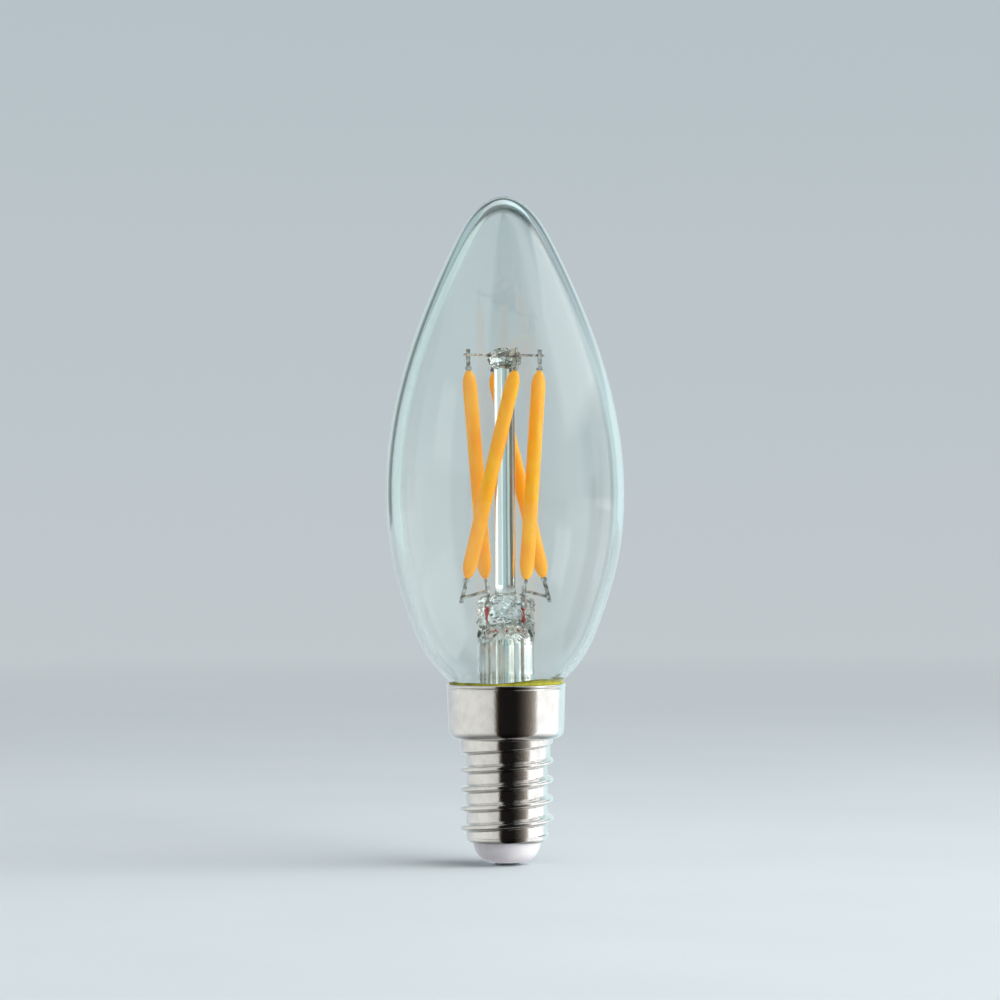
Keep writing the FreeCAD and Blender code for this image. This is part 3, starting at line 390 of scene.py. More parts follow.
def blown_glass():
    """Soda-lime glass blown in a mould: clear, with a faint green depth in its edges and soft
    waves that run round the bulb."""
    material, tree, output, place = new_material("blown_soda_lime_glass")
    waves = noise(tree, place, 9.0, 1.0, 0.4, (1, 1, 0.5))
    ripples = noise(tree, place, 1.6, 1.0, 0.5, (1, 1, 2.0))
    both = reckoned(tree, "MULTIPLY_ADD", ripples, 0.12, waves)
    shader = add_node(tree, "ShaderNodeBsdfPrincipled", {
        "Base Color": colour("#FDFFFE"), "Roughness": 0.0, "IOR": 1.51,
        "Transmission Weight": 1.0, "Normal": bumped(tree, both, 0.010),
    })
    depth = add_node(tree, "ShaderNodeVolumeAbsorption", {"Color": colour("#9FD8D2"), "Density": 60.0})
    tree.links.new(shader.outputs[0], output.inputs["Surface"])
    tree.links.new(depth.outputs[0], output.inputs["Volume"])
    return material


def worked_glass():
    """Lead-free stem glass, softened and pressed by hand tools: clear, with drawn lines along
    it and a faint grey depth."""
    material, tree, output, place = new_material("pressed_stem_glass")
    lines = noise(tree, place, 0.8, 1.0, 0.5, (1, 1, 0.06))
    shader = add_node(tree, "ShaderNodeBsdfPrincipled", {
        "Base Color": colour("#FCFDFB"), "Roughness": 0.0, "IOR": 1.53,
        "Transmission Weight": 1.0, "Normal": bumped(tree, lines, 0.03),
    })
    depth = add_node(tree, "ShaderNodeVolumeAbsorption", {"Color": colour("#C9D6D0"), "Density": 30.0})
    tree.links.new(shader.outputs[0], output.inputs["Surface"])
    tree.links.new(depth.outputs[0], output.inputs["Volume"])
    return material


def nickel_plate():
    """Brass sheet, bright nickel plated and then rolled: mirror-like with a soft edge, fine
    drawing lines round it, and small pits and stains."""
    material, tree, output, place = new_material("bright_nickel_plate")
    stains = noise(tree, place, 2.5, 3.0, 0.6)
    lines = noise(tree, place, 0.35, 2.0, 0.6, (0.25, 0.25, 3.0))
    pits = noise(tree, place, 0.3, 1.0, 0.5)
    tint = ramp(tree, stains, [(0.35, "#DCDBD8"), (0.6, "#E8E7E5")])
    matt = level(tree, stains, 0.3, 0.7, 0.13, 0.08)
    height = reckoned(tree, "MULTIPLY_ADD", lines, 0.6, pits)
    shader = add_node(tree, "ShaderNodeBsdfPrincipled", {
        "Base Color": tint, "Metallic": 1.0, "Roughness": matt,
        "Normal": bumped(tree, height, 0.007),
    })
    tree.links.new(shader.outputs[0], output.inputs["Surface"])
    return material


def lamp_cement():
    """Cured lamp cement: an olive resin and filler mix, matt and grainy, darker where thick."""
    material, tree, output, place = new_material("cured_lamp_cement")
    patches = noise(tree, place, 1.5, 3.0, 0.6)
    grain = noise(tree, place, 0.15, 2.0, 0.6)
    tint = ramp(tree, patches, [(0.3, "#77731A"), (0.5, "#A2A022"), (0.7, "#C0BB36")])
    shader = add_node(tree, "ShaderNodeBsdfPrincipled", {
        "Base Color": tint, "Roughness": 0.62, "Subsurface Weight": 0.15,
        "Subsurface Scale": 0.4 * MM, "Normal": bumped(tree, grain, 0.03),
    })
    tree.links.new(shader.outputs[0], output.inputs["Surface"])
    return material


def insulator_plastic():
    """Moulded white insulator: glossy PBT with a faint cool tone and shallow mould ripples."""
    material, tree, output, place = new_material("moulded_white_pbt")
    clouds = noise(tree, place, 3.0, 2.0, 0.5)
    ripples = noise(tree, place, 0.8, 2.0, 0.5)
    tint = ramp(tree, clouds, [(0.35, "#D9D9E1"), (0.65, "#E4E4EA")])
    shader = add_node(tree, "ShaderNodeBsdfPrincipled", {
        "Base Color": tint, "Roughness": 0.22, "IOR": 1.55, "Subsurface Weight": 0.25,
        "Subsurface Scale": 0.8 * MM, "Normal": bumped(tree, ripples, 0.012),
    })
    tree.links.new(shader.outputs[0], output.inputs["Surface"])
    return material


def worn_contact():
    """Nickel-plated contact nail, rubbed dull by the holder's spring, dark with oxide."""
    material, tree, output, place = new_material("worn_nickel_contact")
    wear = noise(tree, place, 0.5, 4.0, 0.65)
    tint = ramp(tree, wear, [(0.35, "#3F4A4C"), (0.55, "#6C7474"), (0.7, "#9A9C9A")])
    matt = level(tree, wear, 0.35, 0.7, 0.5, 0.25)
    shader = add_node(tree, "ShaderNodeBsdfPrincipled", {
        "Base Color": tint, "Metallic": 1.0, "Roughness": matt,
        "Normal": bumped(tree, wear, 0.02),
    })
    tree.links.new(shader.outputs[0], output.inputs["Surface"])
    return material


def nickel_wire():
    """Drawn nickel wire and strip: bright along the draw lines, with dark annealing marks."""
    material, tree, output, place = new_material("drawn_nickel_wire")
    marks = noise(tree, place, 0.9, 3.0, 0.6)
    scratches = noise(tree, place, 0.12, 2.0, 0.6)
    tint = ramp(tree, marks, [(0.34, "#4C463F"), (0.48, "#B4AEA6"), (0.64, "#F2EFEA")])
    matt = level(tree, marks, 0.3, 0.7, 0.26, 0.12)
    shader = add_node(tree, "ShaderNodeBsdfPrincipled", {
        "Base Color": tint, "Metallic": 1.0, "Roughness": matt,
        "Normal": bumped(tree, scratches, 0.01),
    })
    tree.links.new(shader.outputs[0], output.inputs["Surface"])
    return material


def phosphor_silicone():
    """Silicone loaded with yellow phosphor, cured round the chips: soft, waxy and orange in
    its depth, with a slightly uneven skin. It carries a painted glow: a faint orange light of its own."""
    material, tree, output, place = new_material("phosphor_silicone")
    clouds = noise(tree, place, 1.8, 2.0, 0.5, (1, 1, 0.4))
    skin = noise(tree, place, 0.25, 2.0, 0.6)
    tint = ramp(tree, clouds, [(0.3, "#FFBA1C"), (0.55, "#FFC628"), (0.75, "#FFD03A")])
    shader = add_node(tree, "ShaderNodeBsdfPrincipled", {
        "Base Color": tint, "Roughness": 0.45, "IOR": 1.43, "Subsurface Weight": 0.9,
        "Subsurface Radius": (1.0, 0.3, 0.03), "Subsurface Scale": 0.7 * MM,
        # Painted glow: the coat gives off a faint orange light of its own, although the bulb is not lit
        "Emission Color": colour("#FF6400"), "Emission Strength": 0.24,
        "Normal": bumped(tree, skin, 0.02),
    })
    tree.links.new(shader.outputs[0], output.inputs["Surface"])
    return material


def clad_seal_wire():
    """Copper-clad seal wire, boraxed so that it wets the glass: brick red and dull."""
    material, tree, output, place = new_material("boraxed_copper_clad_wire")
    patches = noise(tree, place, 0.6, 3.0, 0.6)
    tint = ramp(tree, patches, [(0.3, "#8A1C14"), (0.55, "#C03626"), (0.75, "#E2674E")])
    shader = add_node(tree, "ShaderNodeBsdfPrincipled", {
        "Base Color": tint, "Metallic": 0.6, "Roughness": 0.3,
        "Normal": bumped(tree, patches, 0.02),
    })
    tree.links.new(shader.outputs[0], output.inputs["Surface"])
    return material


def tinned_copper():
    """Tinned copper lead: soft grey tin, with copper through it where it was bent."""
    material, tree, output, place = new_material("tinned_copper_wire")
    thin = noise(tree, place, 0.8, 3.0, 0.6)
    tint = ramp(tree, thin, [(0.3, "#9C6A4A"), (0.45, "#B5A89C"), (0.7, "#C9C6C2")])
    shader = add_node(tree, "ShaderNodeBsdfPrincipled", {
        "Base Color": tint, "Metallic": 1.0, "Roughness": 0.35,
        "Normal": bumped(tree, thin, 0.01),
    })
    tree.links.new(shader.outputs[0], output.inputs["Surface"])
    return material


def board_laminate():
    """Glass-fibre laminate under green solder mask: a woven ground under gloss."""
    material, tree, output, place = new_material("glass_fibre_laminate")
    weave_pitch = 0.5
    wave_at_scale_one = 0.31
    scale = wave_at_scale_one / (weave_pitch * MM)
    warp, weft = (add_node(tree, "ShaderNodeTexWave", {"Vector": place, "Scale": scale},
                           bands_direction=axis).outputs["Fac"] for axis in ("X", "Z"))
    weave = reckoned(tree, "MULTIPLY", warp, weft)
    tint = ramp(tree, weave, [(0.0, "#123F22"), (1.0, "#1F6A3A")])
    shader = add_node(tree, "ShaderNodeBsdfPrincipled", {
        "Base Color": tint, "Roughness": 0.32, "Normal": bumped(tree, weave, 0.01),
    })
    tree.links.new(shader.outputs[0], output.inputs["Surface"])
    return material


def moulded_epoxy():
    """Black epoxy of a moulded chip: matt, with the fine grain of its mould."""
    material, tree, output, place = new_material("moulded_black_epoxy")
    grain = noise(tree, place, 0.1, 2.0, 0.6)
    tint = ramp(tree, grain, [(0.35, "#161616"), (0.65, "#262626")])
    shader = add_node(tree, "ShaderNodeBsdfPrincipled", {
        "Base Color": tint, "Roughness": 0.55, "Normal": bumped(tree, grain, 0.015),
    })
    tree.links.new(shader.outputs[0], output.inputs["Surface"])
    return material


def shrink_sleeve():
    """Aluminium can in a dark shrink sleeve: smooth vinyl with faint pull lines."""
    material, tree, output, place = new_material("vinyl_shrink_sleeve")
    pull = noise(tree, place, 0.6, 2.0, 0.5, (1, 1, 0.2))
    tint = ramp(tree, pull, [(0.35, "#14161C"), (0.65, "#22252E")])
    shader = add_node(tree, "ShaderNodeBsdfPrincipled", {
        "Base Color": tint, "Roughness": 0.3, "Normal": bumped(tree, pull, 0.02),
    })
    tree.links.new(shader.outputs[0], output.inputs["Surface"])
    return material


def resistor_lacquer():
    """Blue-green lacquer on a film resistor: dipped, glossy and slightly lumpy."""
    material, tree, output, place = new_material("resistor_lacquer")
    lumps = noise(tree, place, 0.7, 2.0, 0.5)
    tint = ramp(tree, lumps, [(0.35, "#4B8C95"), (0.65, "#67A7AC")])
    shader = add_node(tree, "ShaderNodeBsdfPrincipled", {
        "Base Color": tint, "Roughness": 0.25, "Coat Weight": 0.4,
        "Normal": bumped(tree, lumps, 0.03),
    })
    tree.links.new(shader.outputs[0], output.inputs["Surface"])
    return material


MATERIALS = {
    "envelope_glass": blown_glass(),
    "stem_glass": worked_glass(),
    "cap_metal": nickel_plate(),
    "cement": lamp_cement(),
    "insulator_plastic": insulator_plastic(),
    "contact_metal": worn_contact(),
    "wire_metal": nickel_wire(),
    "filament_coat": phosphor_silicone(),
    "seal_copper": clad_seal_wire(),
    "lead_copper": tinned_copper(),
    "board_laminate": board_laminate(),
    "chip_plastic": moulded_epoxy(),
    "capacitor_can": shrink_sleeve(),
    "resistor_body": resistor_lacquer(),
}


def dressed(piece, slot, *nodes):
    """Gives a new piece its material and its place in the bulb."""
    piece.data.materials.clear()
    piece.data.materials.append(MATERIALS[slot])
    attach(piece, "root")
    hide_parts(*nodes)
    return piece


# Pieces

def glass_envelope():
    """Blown glass, thicker towards its tip, spun as one wall from the tip to the foot and back."""
    span = BULB_LENGTH - NECK_TOP
    neck, belly = NECK_DIAMETER / 2, GLASS_DIAMETER / 2
    points = [(neck, NECK_TOP)]
    points += [(neck + swell * (belly - neck), NECK_TOP + share * span)
               for share, swell in LOWER_OUTLINE]
    points += [(radius * belly, NECK_TOP + share * span) for share, radius in UPPER_OUTLINE]
    points.append((0, BULB_LENGTH))
    outside = smooth_line(points, (0.5, 1), (-1, 0), 120)
    inside = []
    for before, place, after in zip(outside, outside[1:], outside[2:]):
        way = (after - before) / np.linalg.norm(after - before)
        share = (place[1] - NECK_TOP) / span
        wall = GLASS_WALL + (GLASS_TIP_WALL - GLASS_WALL) * share ** 3
        inside.append(place + np.array([-way[1], way[0]]) * wall)
    inside = [place for place in inside if place[0] > 0.15 and place[1] > NECK_TOP + 0.5]
    foot = even((neck, NECK_BOTTOM), (neck, NECK_TOP), 10)
    inner_foot = even((neck - GLASS_WALL, NECK_BOTTOM), (neck - GLASS_WALL, NECK_TOP), 10)
    outline = outside[::-1] + foot[::-1] + inner_foot + inside
    outline.append(np.array([0, BULB_LENGTH - GLASS_TIP_WALL]))
    piece = spun("blown_envelope", outline, 192)
    piece.visible_shadow = False
    return dressed(smooth(piece), "envelope_glass", "glass_envelope")


def thread_rise(angle, height):
    """Share of the thread's depth at a place: round ridges that fade in at the bottom, and
    valleys that run out under the land at the top."""
    turn = angle / (2 * math.pi)
    valley = (height - VALLEY_HEIGHT) / THREAD_PITCH - turn + VALLEY_TURNS
    nearest = round(valley)
    off = abs(valley - nearest)
    from_ridge = (0.5 - off) * THREAD_PITCH
    ridge = 1 - ease(from_ridge, CREST_HALF_WIDTH, RIDGE_HALF_WIDTH) ** RIDGE_ROUNDNESS
    turns_up = nearest + turn
    if off > 0.001:
        turns_up_ridge = math.floor(valley) + 0.5 + turn
    else:
        turns_up_ridge = turns_up
    ridge *= ease(turns_up_ridge, *FADE_IN_TURNS)
    land = ease(turns_up, *RUN_OUT_TURNS)
    return max(ridge, land)


def thread_radius(angle, height):
    """Outer radius of the barrel at a place."""
    rolled = thread_rise(angle % (2 * math.pi), height)
    rolled *= ease(height, BARREL_BOTTOM, THREAD_BOTTOM)
    return THREAD_ROOT_RADIUS + rolled * (THREAD_RADIUS - THREAD_ROOT_RADIUS)


def thread_normals(piece):
    """Gives the outside of the barrel its true normals, so that the ridges shine smoothly. The
    zero normals elsewhere leave the soft shading as it is."""
    step = 0.02
    low, high = BARREL_BOTTOM + 0.1, COLLAR_BOTTOM - 0.2
    normals = []
    for vertex in piece.data.vertices:
        x, y, z = (value / MM for value in vertex.co)
        angle = math.atan2(y, x)
        radius = math.hypot(x, y)
        outside = radius >= thread_radius(angle, z) - SHEET / 5
        if not (low < z < high and outside):
            normals.append((0, 0, 0))
            continue
        up = (thread_radius(angle, z + step) - thread_radius(angle, z - step)) / (2 * step)
        turn = (thread_radius(angle + step, z) - thread_radius(angle - step, z)) / (2 * step)
        turn /= radius
        way = (math.cos(angle) + turn * math.sin(angle), math.sin(angle) - turn * math.cos(angle))
        normals.append(Vector((*way, -up)).normalized())
    piece.data.normals_split_custom_set_from_vertices(normals)


def cap_shell():
    """Screw shell spun from one sheet, its thread rolled in, with a rolled rim and a curled lip."""
    root = THREAD_ROOT_RADIUS
    low_curl = bend((5.12, LIP_HEIGHT), (5.92, LIP_HEIGHT), (5.95, BARREL_BOTTOM - 0.05), 12)
    barrel = even((root, BARREL_BOTTOM + 0.05), (root, COLLAR_BOTTOM - 0.12), 165)
    shoulder = bend((root, COLLAR_BOTTOM - 0.05), (root, COLLAR_BOTTOM),
                    (LAND_EDGE - 0.01, COLLAR_BOTTOM), 4)
    ledge = even((6.2, COLLAR_BOTTOM), (COLLAR_RADIUS - 1.45, COLLAR_BOTTOM + 0.02), 5)
    corner = bend((COLLAR_RADIUS - 1.4, COLLAR_BOTTOM + 0.03),
                  (COLLAR_RADIUS - 0.05, COLLAR_BOTTOM + 0.1),
                  (COLLAR_RADIUS, COLLAR_BOTTOM + 1.5), 14)
    wall = even((COLLAR_RADIUS, COLLAR_BOTTOM + 1.6), (COLLAR_TOP_RADIUS, COLLAR_TOP - 0.75), 10)
    rim = [(COLLAR_TOP_RADIUS, COLLAR_TOP - 0.7)] + RIM_ROLL
    piece = spun("rolled_screw_shell",
                 low_curl + barrel + shoulder + ledge + corner + wall + rim, 192)
    for vertex in piece.data.vertices:
        x, y, z = (value / MM for value in vertex.co)
        radius = math.hypot(x, y)
        if not BARREL_BOTTOM <= z <= COLLAR_BOTTOM + 0.001 or radius > LAND_EDGE:
            continue
        grown = (radius + thread_radius(math.atan2(y, x), z) - THREAD_ROOT_RADIUS) / radius
        vertex.co.x *= grown
        vertex.co.y *= grown
    applied(piece, "SOLIDIFY", thickness=SHEET * MM, offset=-1.0)
    thread_normals(smooth(piece, 50))
    return dressed(piece, "cap_metal", "cap_shell")


def cement_ring():
    """Cement squeezed out round the neck: low at the left, standing higher at the right."""
    neck = NECK_DIAMETER / 2 + 0.02
    outside = [(8.3, CEMENT_BOTTOM), (8.38, 26.3), (8.42, 26.7), (8.3, 26.95), (8.16, 27.08)]
    inside = [(neck + 0.02, 27.12), (neck, 27.0), (neck, CEMENT_BOTTOM)]
    piece = spun("cement_bead", [(neck, CEMENT_BOTTOM)] + outside + inside, 144)
    for vertex in piece.data.vertices:
        x, y, z = (value / MM for value in vertex.co)
        if z < COLLAR_TOP:
            continue
        angle = math.atan2(y, x)
        rise = CEMENT_RISE * ease(math.cos(angle + 0.5), 0.35, 1.0)
        rise += 0.05 * math.sin(5 * angle + 1.0)
        rise += 0.03 * math.sin(11 * angle) - 0.1
        lifted = z + rise * (z - COLLAR_TOP) / CEMENT_HEIGHT
        reach = math.hypot(x, y)
        glass = neck + max(lifted - NECK_TOP, 0) * GLASS_SPREAD
        grown = max(reach, glass) / reach
        vertex.co = Vector((x * grown * MM, y * grown * MM, lifted * MM))
    return dressed(smooth(piece, 60), "cement", "cement_ring")


def insulator():
    """Moulded plug whose dome fills the shell's mouth."""
    seat = [(0.0, 0.8), (2.05, 0.8), (2.05, 0.53), (2.15, INSULATOR_BOTTOM)]
    dome = bend((2.75, INSULATOR_BOTTOM), (4.6, 1.0), (MOUTH_RADIUS, 3.36), 18)
    hook = [(MOUTH_RADIUS, 3.42), (5.1, 3.58), (5.4, 3.66), (5.55, 3.9)]
    plug = [(5.56, INSULATOR_TOP), (0.0, INSULATOR_TOP)]
    piece = spun("moulded_insulator", seat + dome + hook + plug, 128)
    return dressed(smooth(piece, 50), "insulator_plastic", "insulator")


def centre_contact():
    """Head of the contact nail, rounded at its edge and flat where the spring meets it."""
    flat = [(0.0, 0.0), (1.1, 0.0)]
    edge = bend((1.2, 0.0), (1.8, 0.06), (CONTACT_RADIUS, 0.36), 8)
    back = [(CONTACT_RADIUS, 0.42), (1.9, 0.46), (SHANK_RADIUS + 0.02, 0.47)]
    shank = [(SHANK_RADIUS, height) for height in (0.55, 0.9, SHANK_TOP)]
    piece = spun("contact_nail", flat + edge + back + shank + [(0.0, SHANK_TOP)], 96)
    return dressed(smooth(piece, 50), "contact_metal", "centre_contact")


def glass_stem():
    """Flare, tube and press of the stem, the press squeezed flat and left lumpy."""
    dome = bend((STEM_RADIUS, 38.6), (STEM_RADIUS, PRESS_TOP), (0, PRESS_TOP), 14)
    tube = even((STEM_RADIUS, 38.5), (STEM_RADIUS, FLARE_TOP + 0.4), 60)
    flare = bend((STEM_RADIUS, FLARE_TOP), (STEM_RADIUS, FLARE_HEIGHT),
                 (FLARE_RADIUS, FLARE_HEIGHT), 14)
    bore = STEM_RADIUS - STEM_WALL
    inner_flare = bend((6.3, 20.62), (bore, 20.7), (bore, FLARE_TOP), 14)
    inner = even((bore, FLARE_TOP + 0.4), (bore, STEM_CAVITY_TOP - 2.4), 30)
    roof = bend((bore, STEM_CAVITY_TOP - 2.3), (bore, STEM_CAVITY_TOP), (0, STEM_CAVITY_TOP), 12)
    piece = spun("pressed_stem",
                 dome[::-1] + tube + flare + FLARE_EDGE + inner_flare + inner + roof, 128)
    for vertex in piece.data.vertices:
        x, y, z = (value / MM for value in vertex.co)
        if z < 30:
            continue
        outer = math.hypot(x, y) > bore + 0.3 or z > STEM_CAVITY_TOP + 0.01
        squeeze = ease(z, PRESS_SHOULDER - 0.6, PRESS_BOTTOM + 0.2)
        if outer:
            flat = 1 - squeeze * (1 - PRESS_THICKNESS / (2 * STEM_RADIUS))
            vertex.co = Vector((x * MM, y * flat * MM, z * MM))
    lumpy(piece, "press", PRESS_LUMPS_FROM, PRESS_LUMPS)
    piece.visible_shadow = False
    return dressed(smooth(piece, 60), "stem_glass", "glass_stem")


def exhaust_tube():
    """Thin tube inside the stem, drawn off to a sealed tip below."""
    low, bent, straight = EXHAUST_TIP, EXHAUST_TIP + 2.6, EXHAUST_TIP + 3.0
    top = STEM_CAVITY_TOP + 0.1
    floor = EXHAUST_TIP + 1.2
    tip = bend((0, low), (EXHAUST_RADIUS, low), (EXHAUST_RADIUS, bent), 14)
    outer = even((EXHAUST_RADIUS, straight), (EXHAUST_RADIUS, top), 24)
    inner = even((EXHAUST_BORE, top), (EXHAUST_BORE, straight), 24)
    inner_tip = bend((EXHAUST_BORE, bent), (EXHAUST_BORE, floor), (0, floor), 10)
    piece = spun("exhaust_tubulation", tip + outer + inner + inner_tip, 64)
    piece.visible_shadow = False
    return dressed(smooth(piece, 50), "stem_glass", "exhaust_tube")


def glass_pillar():
    """Glass rod with the lumpy bead that grips the support wires."""
    low, high = BEAD_HEIGHT - BEAD_ROUNDING, BEAD_HEIGHT + BEAD_ROUNDING
    foot = [(0, PRESS_TOP - 0.06), (1.2, PRESS_TOP - 0.06)]
    spread = bend((1.7, PRESS_TOP - 0.02), (PILLAR_RADIUS, PRESS_TOP + 0.2),
                  (PILLAR_RADIUS, PRESS_TOP + 1.4), 8)
    rod = even((PILLAR_RADIUS, PRESS_TOP + 1.8), (PILLAR_RADIUS, BEAD_HEIGHT - 1.7), 50)
    lower = bend((PILLAR_RADIUS, BEAD_HEIGHT - 1.5), (BEAD_RADIUS, low), (BEAD_RADIUS, BEAD_HEIGHT), 12)
    upper = bend((BEAD_RADIUS, BEAD_HEIGHT + 0.1), (BEAD_RADIUS, high), (0, high), 14)
    piece = spun("pillar_and_bead", foot + spread + rod + lower + upper, 64)
    lumpy(piece, "bead", BEAD_LUMPS_FROM, BEAD_LUMPS)
    piece.visible_shadow = False
    return dressed(smooth(piece, 60), "stem_glass", "glass_pillar")


def filament_ends(index):
    """Top and bottom place of a filament, 1 to 4; 3 and 4 are half a turn from 1 and 2."""
    first = (index - 1) % 2
    turn = 180 if index > 2 else 0
    top_angle = math.radians(TOP_ANGLES[first] + turn)
    bottom_angle = math.radians(BOTTOM_ANGLES[first] + turn)
    top = Vector((TOP_RING * math.cos(top_angle), TOP_RING * math.sin(top_angle), 0))
    bottom = Vector((BOTTOM_RING * math.cos(bottom_angle), BOTTOM_RING * math.sin(bottom_angle), 0))
    rise = math.sqrt(FILAMENT_LENGTH ** 2 - (top - bottom).length ** 2)
    top.z = FILAMENT_MIDDLE + rise / 2
    bottom.z = FILAMENT_MIDDLE - rise / 2
    return top, bottom


def filament(index):
    """Coated rod with a rounded point at each end, laid between its two places."""
    low = bend((0.3, 0.0), (0.95, 0.7), (FILAMENT_RADIUS, 2.2), 12)
    high = bend((FILAMENT_RADIUS, FILAMENT_LENGTH - 2.6), (FILAMENT_RADIUS, FILAMENT_LENGTH - 0.7),
                (0.28, FILAMENT_LENGTH), 16)
    body = even((FILAMENT_RADIUS, 2.7), (FILAMENT_RADIUS, FILAMENT_LENGTH - 3.0), 40)
    outline = [(0.0, 0.0)] + low + body + high + [(0.0, FILAMENT_LENGTH)]
    piece = spun("coated_filament_%d" % index, outline, 40)
    wander(piece, 3.5, 0.02, index)
    top, bottom = filament_ends(index)
    piece.rotation_mode = "QUATERNION"
    piece.rotation_quaternion = (top - bottom).to_track_quat("Z", "Y")
    piece.location = bottom * MM
    bpy.ops.object.transform_apply(location=True, rotation=True, scale=True)
    return dressed(smooth(piece, 60), "filament_coat", "led_filament_%d" % index)


# Stage, light and camera

def azimuth_share(tree, parts):
    """How far round the room a place or way lies, 0 to 1, with the camera's side at a half."""
    back = reckoned(tree, "MULTIPLY", parts["Y"], -1.0)
    azimuth = reckoned(tree, "ARCTAN2", parts["X"], back)
    return level(tree, azimuth, -math.pi, math.pi, 0.0, 1.0)


def round_room(tree, share, degrees):
    """Colours all round the room; stops are (azimuth in degrees from the camera, hex value)."""
    return ramp(tree, share, [((value + 180) / 360, code) for value, code in degrees])


def backdrop():
    """Plain pale floor that curves up into a wall all round. Rays that went through the worked
    glass inside the bulb see it in white and dark bands, as a studio's panels and flags."""
    floor = even((0, 0), (FLOOR_RADIUS, 0), 12)
    sweep = bend((FLOOR_RADIUS, 0), (WALL_RADIUS, 0), (WALL_RADIUS, SWEEP_HEIGHT), 24)
    wall = even((WALL_RADIUS, SWEEP_HEIGHT + 100), (WALL_RADIUS, WALL_TOP), 5)
    piece = spun("studio_sweep", floor + sweep + wall, 128)
    material, tree, output, place = new_material("painted_studio_sweep")
    mottle = noise(tree, place, 60.0, 2.0, 0.5)
    tint = ramp(tree, mottle, [(0.3, "#D2DCE1"), (0.7, "#D6DFE4")])
    shader = add_node(tree, "ShaderNodeBsdfPrincipled", {
        "Base Color": tint, "Roughness": 0.9, "Specular IOR Level": 0.0})
    parts = add_node(tree, "ShaderNodeSeparateXYZ", {"Vector": place}).outputs
    distance = add_node(tree, "ShaderNodeVectorMath", {0: place}, operation="LENGTH").outputs["Value"]
    tone = ramp(tree, parts["Z"], [(0.0, "#C2CACE"), (0.3, "#BAC5CB"), (1.0, "#AEBBC3")])
    path = add_node(tree, "ShaderNodeLightPath").outputs
    deep = reckoned(tree, "GREATER_THAN", path["Transmission Depth"], FACES_PASSED)
    bands = round_room(tree, azimuth_share(tree, parts), WORKED_GLASS_BANDS)
    glow = add_node(tree, "ShaderNodeEmission", {
        "Color": mixed(tree, deep, tone, bands),
        "Strength": level(tree, deep, 0.0, 1.0, 1.0, BAND_POWER)}).outputs[0]
    seen = reckoned(tree, "MAXIMUM", path["Is Camera Ray"], path["Is Transmission Ray"])
    far = level(tree, distance, 0.1, 0.8, 0.0, 0.95)
    share = reckoned(tree, "MULTIPLY", seen, far)
    face = add_node(tree, "ShaderNodeMixShader", {0: share, 1: shader.outputs[0], 2: glow})
    tree.links.new(face.outputs[0], output.inputs["Surface"])
    piece.data.materials.append(material)
    piece.visible_glossy = False
    piece.visible_shadow = False
    piece.visible_diffuse = False
    smooth(piece, 60)


def room_light(tree, tint, strength=1.0):
    """One background of the room."""
    return add_node(tree, "ShaderNodeBackground", {"Color": tint, "Strength": strength}).outputs[0]


def surroundings():
    """Room light by the way it comes from. Polished metal sees a dark room behind the camera,
    a pale wall at the left and a white panel at the right, all dimmer towards the floor. Rays
    through glass that leave the backdrop see a dark ceiling, and matt surfaces get more light
    from the right."""
    world = bpy.data.worlds.new("studio_room")
    bpy.context.scene.world = world
    world.use_nodes = True
    tree = world.node_tree
    tree.nodes.clear()
    output = add_node(tree, "ShaderNodeOutputWorld")
    way = add_node(tree, "ShaderNodeTexCoord").outputs["Generated"]
    parts = add_node(tree, "ShaderNodeSeparateXYZ", {"Vector": way}).outputs
    share = azimuth_share(tree, parts)
    tall = parts["Z"]
    above = level(tree, tall, -0.035, -0.005, 0.0, 1.0)
    bands = mixed(tree, above, round_room(tree, share, METAL_LOW_BANDS),
                  round_room(tree, share, METAL_HIGH_BANDS))
    polished = room_light(tree, bands, level(tree, tall, -0.75, -0.3, 0.35, 1.35))
    upper = level(tree, tall, -0.2, 0.1, 0.0, 1.0)
    plain = room_light(tree, mixed(tree, upper, round_room(tree, share, MATT_LOW_BANDS),
                                   round_room(tree, share, MATT_HIGH_BANDS)))
    ceiling = room_light(tree, colour("#23282A"))
    path = add_node(tree, "ShaderNodeLightPath").outputs
    open_room = add_node(tree, "ShaderNodeMixShader", {
        0: path["Is Transmission Ray"], 1: plain, 2: ceiling}).outputs[0]
    whole = add_node(tree, "ShaderNodeMixShader", {
        0: path["Is Glossy Ray"], 1: open_room, 2: polished}).outputs[0]
    tree.links.new(whole, output.inputs["Surface"])


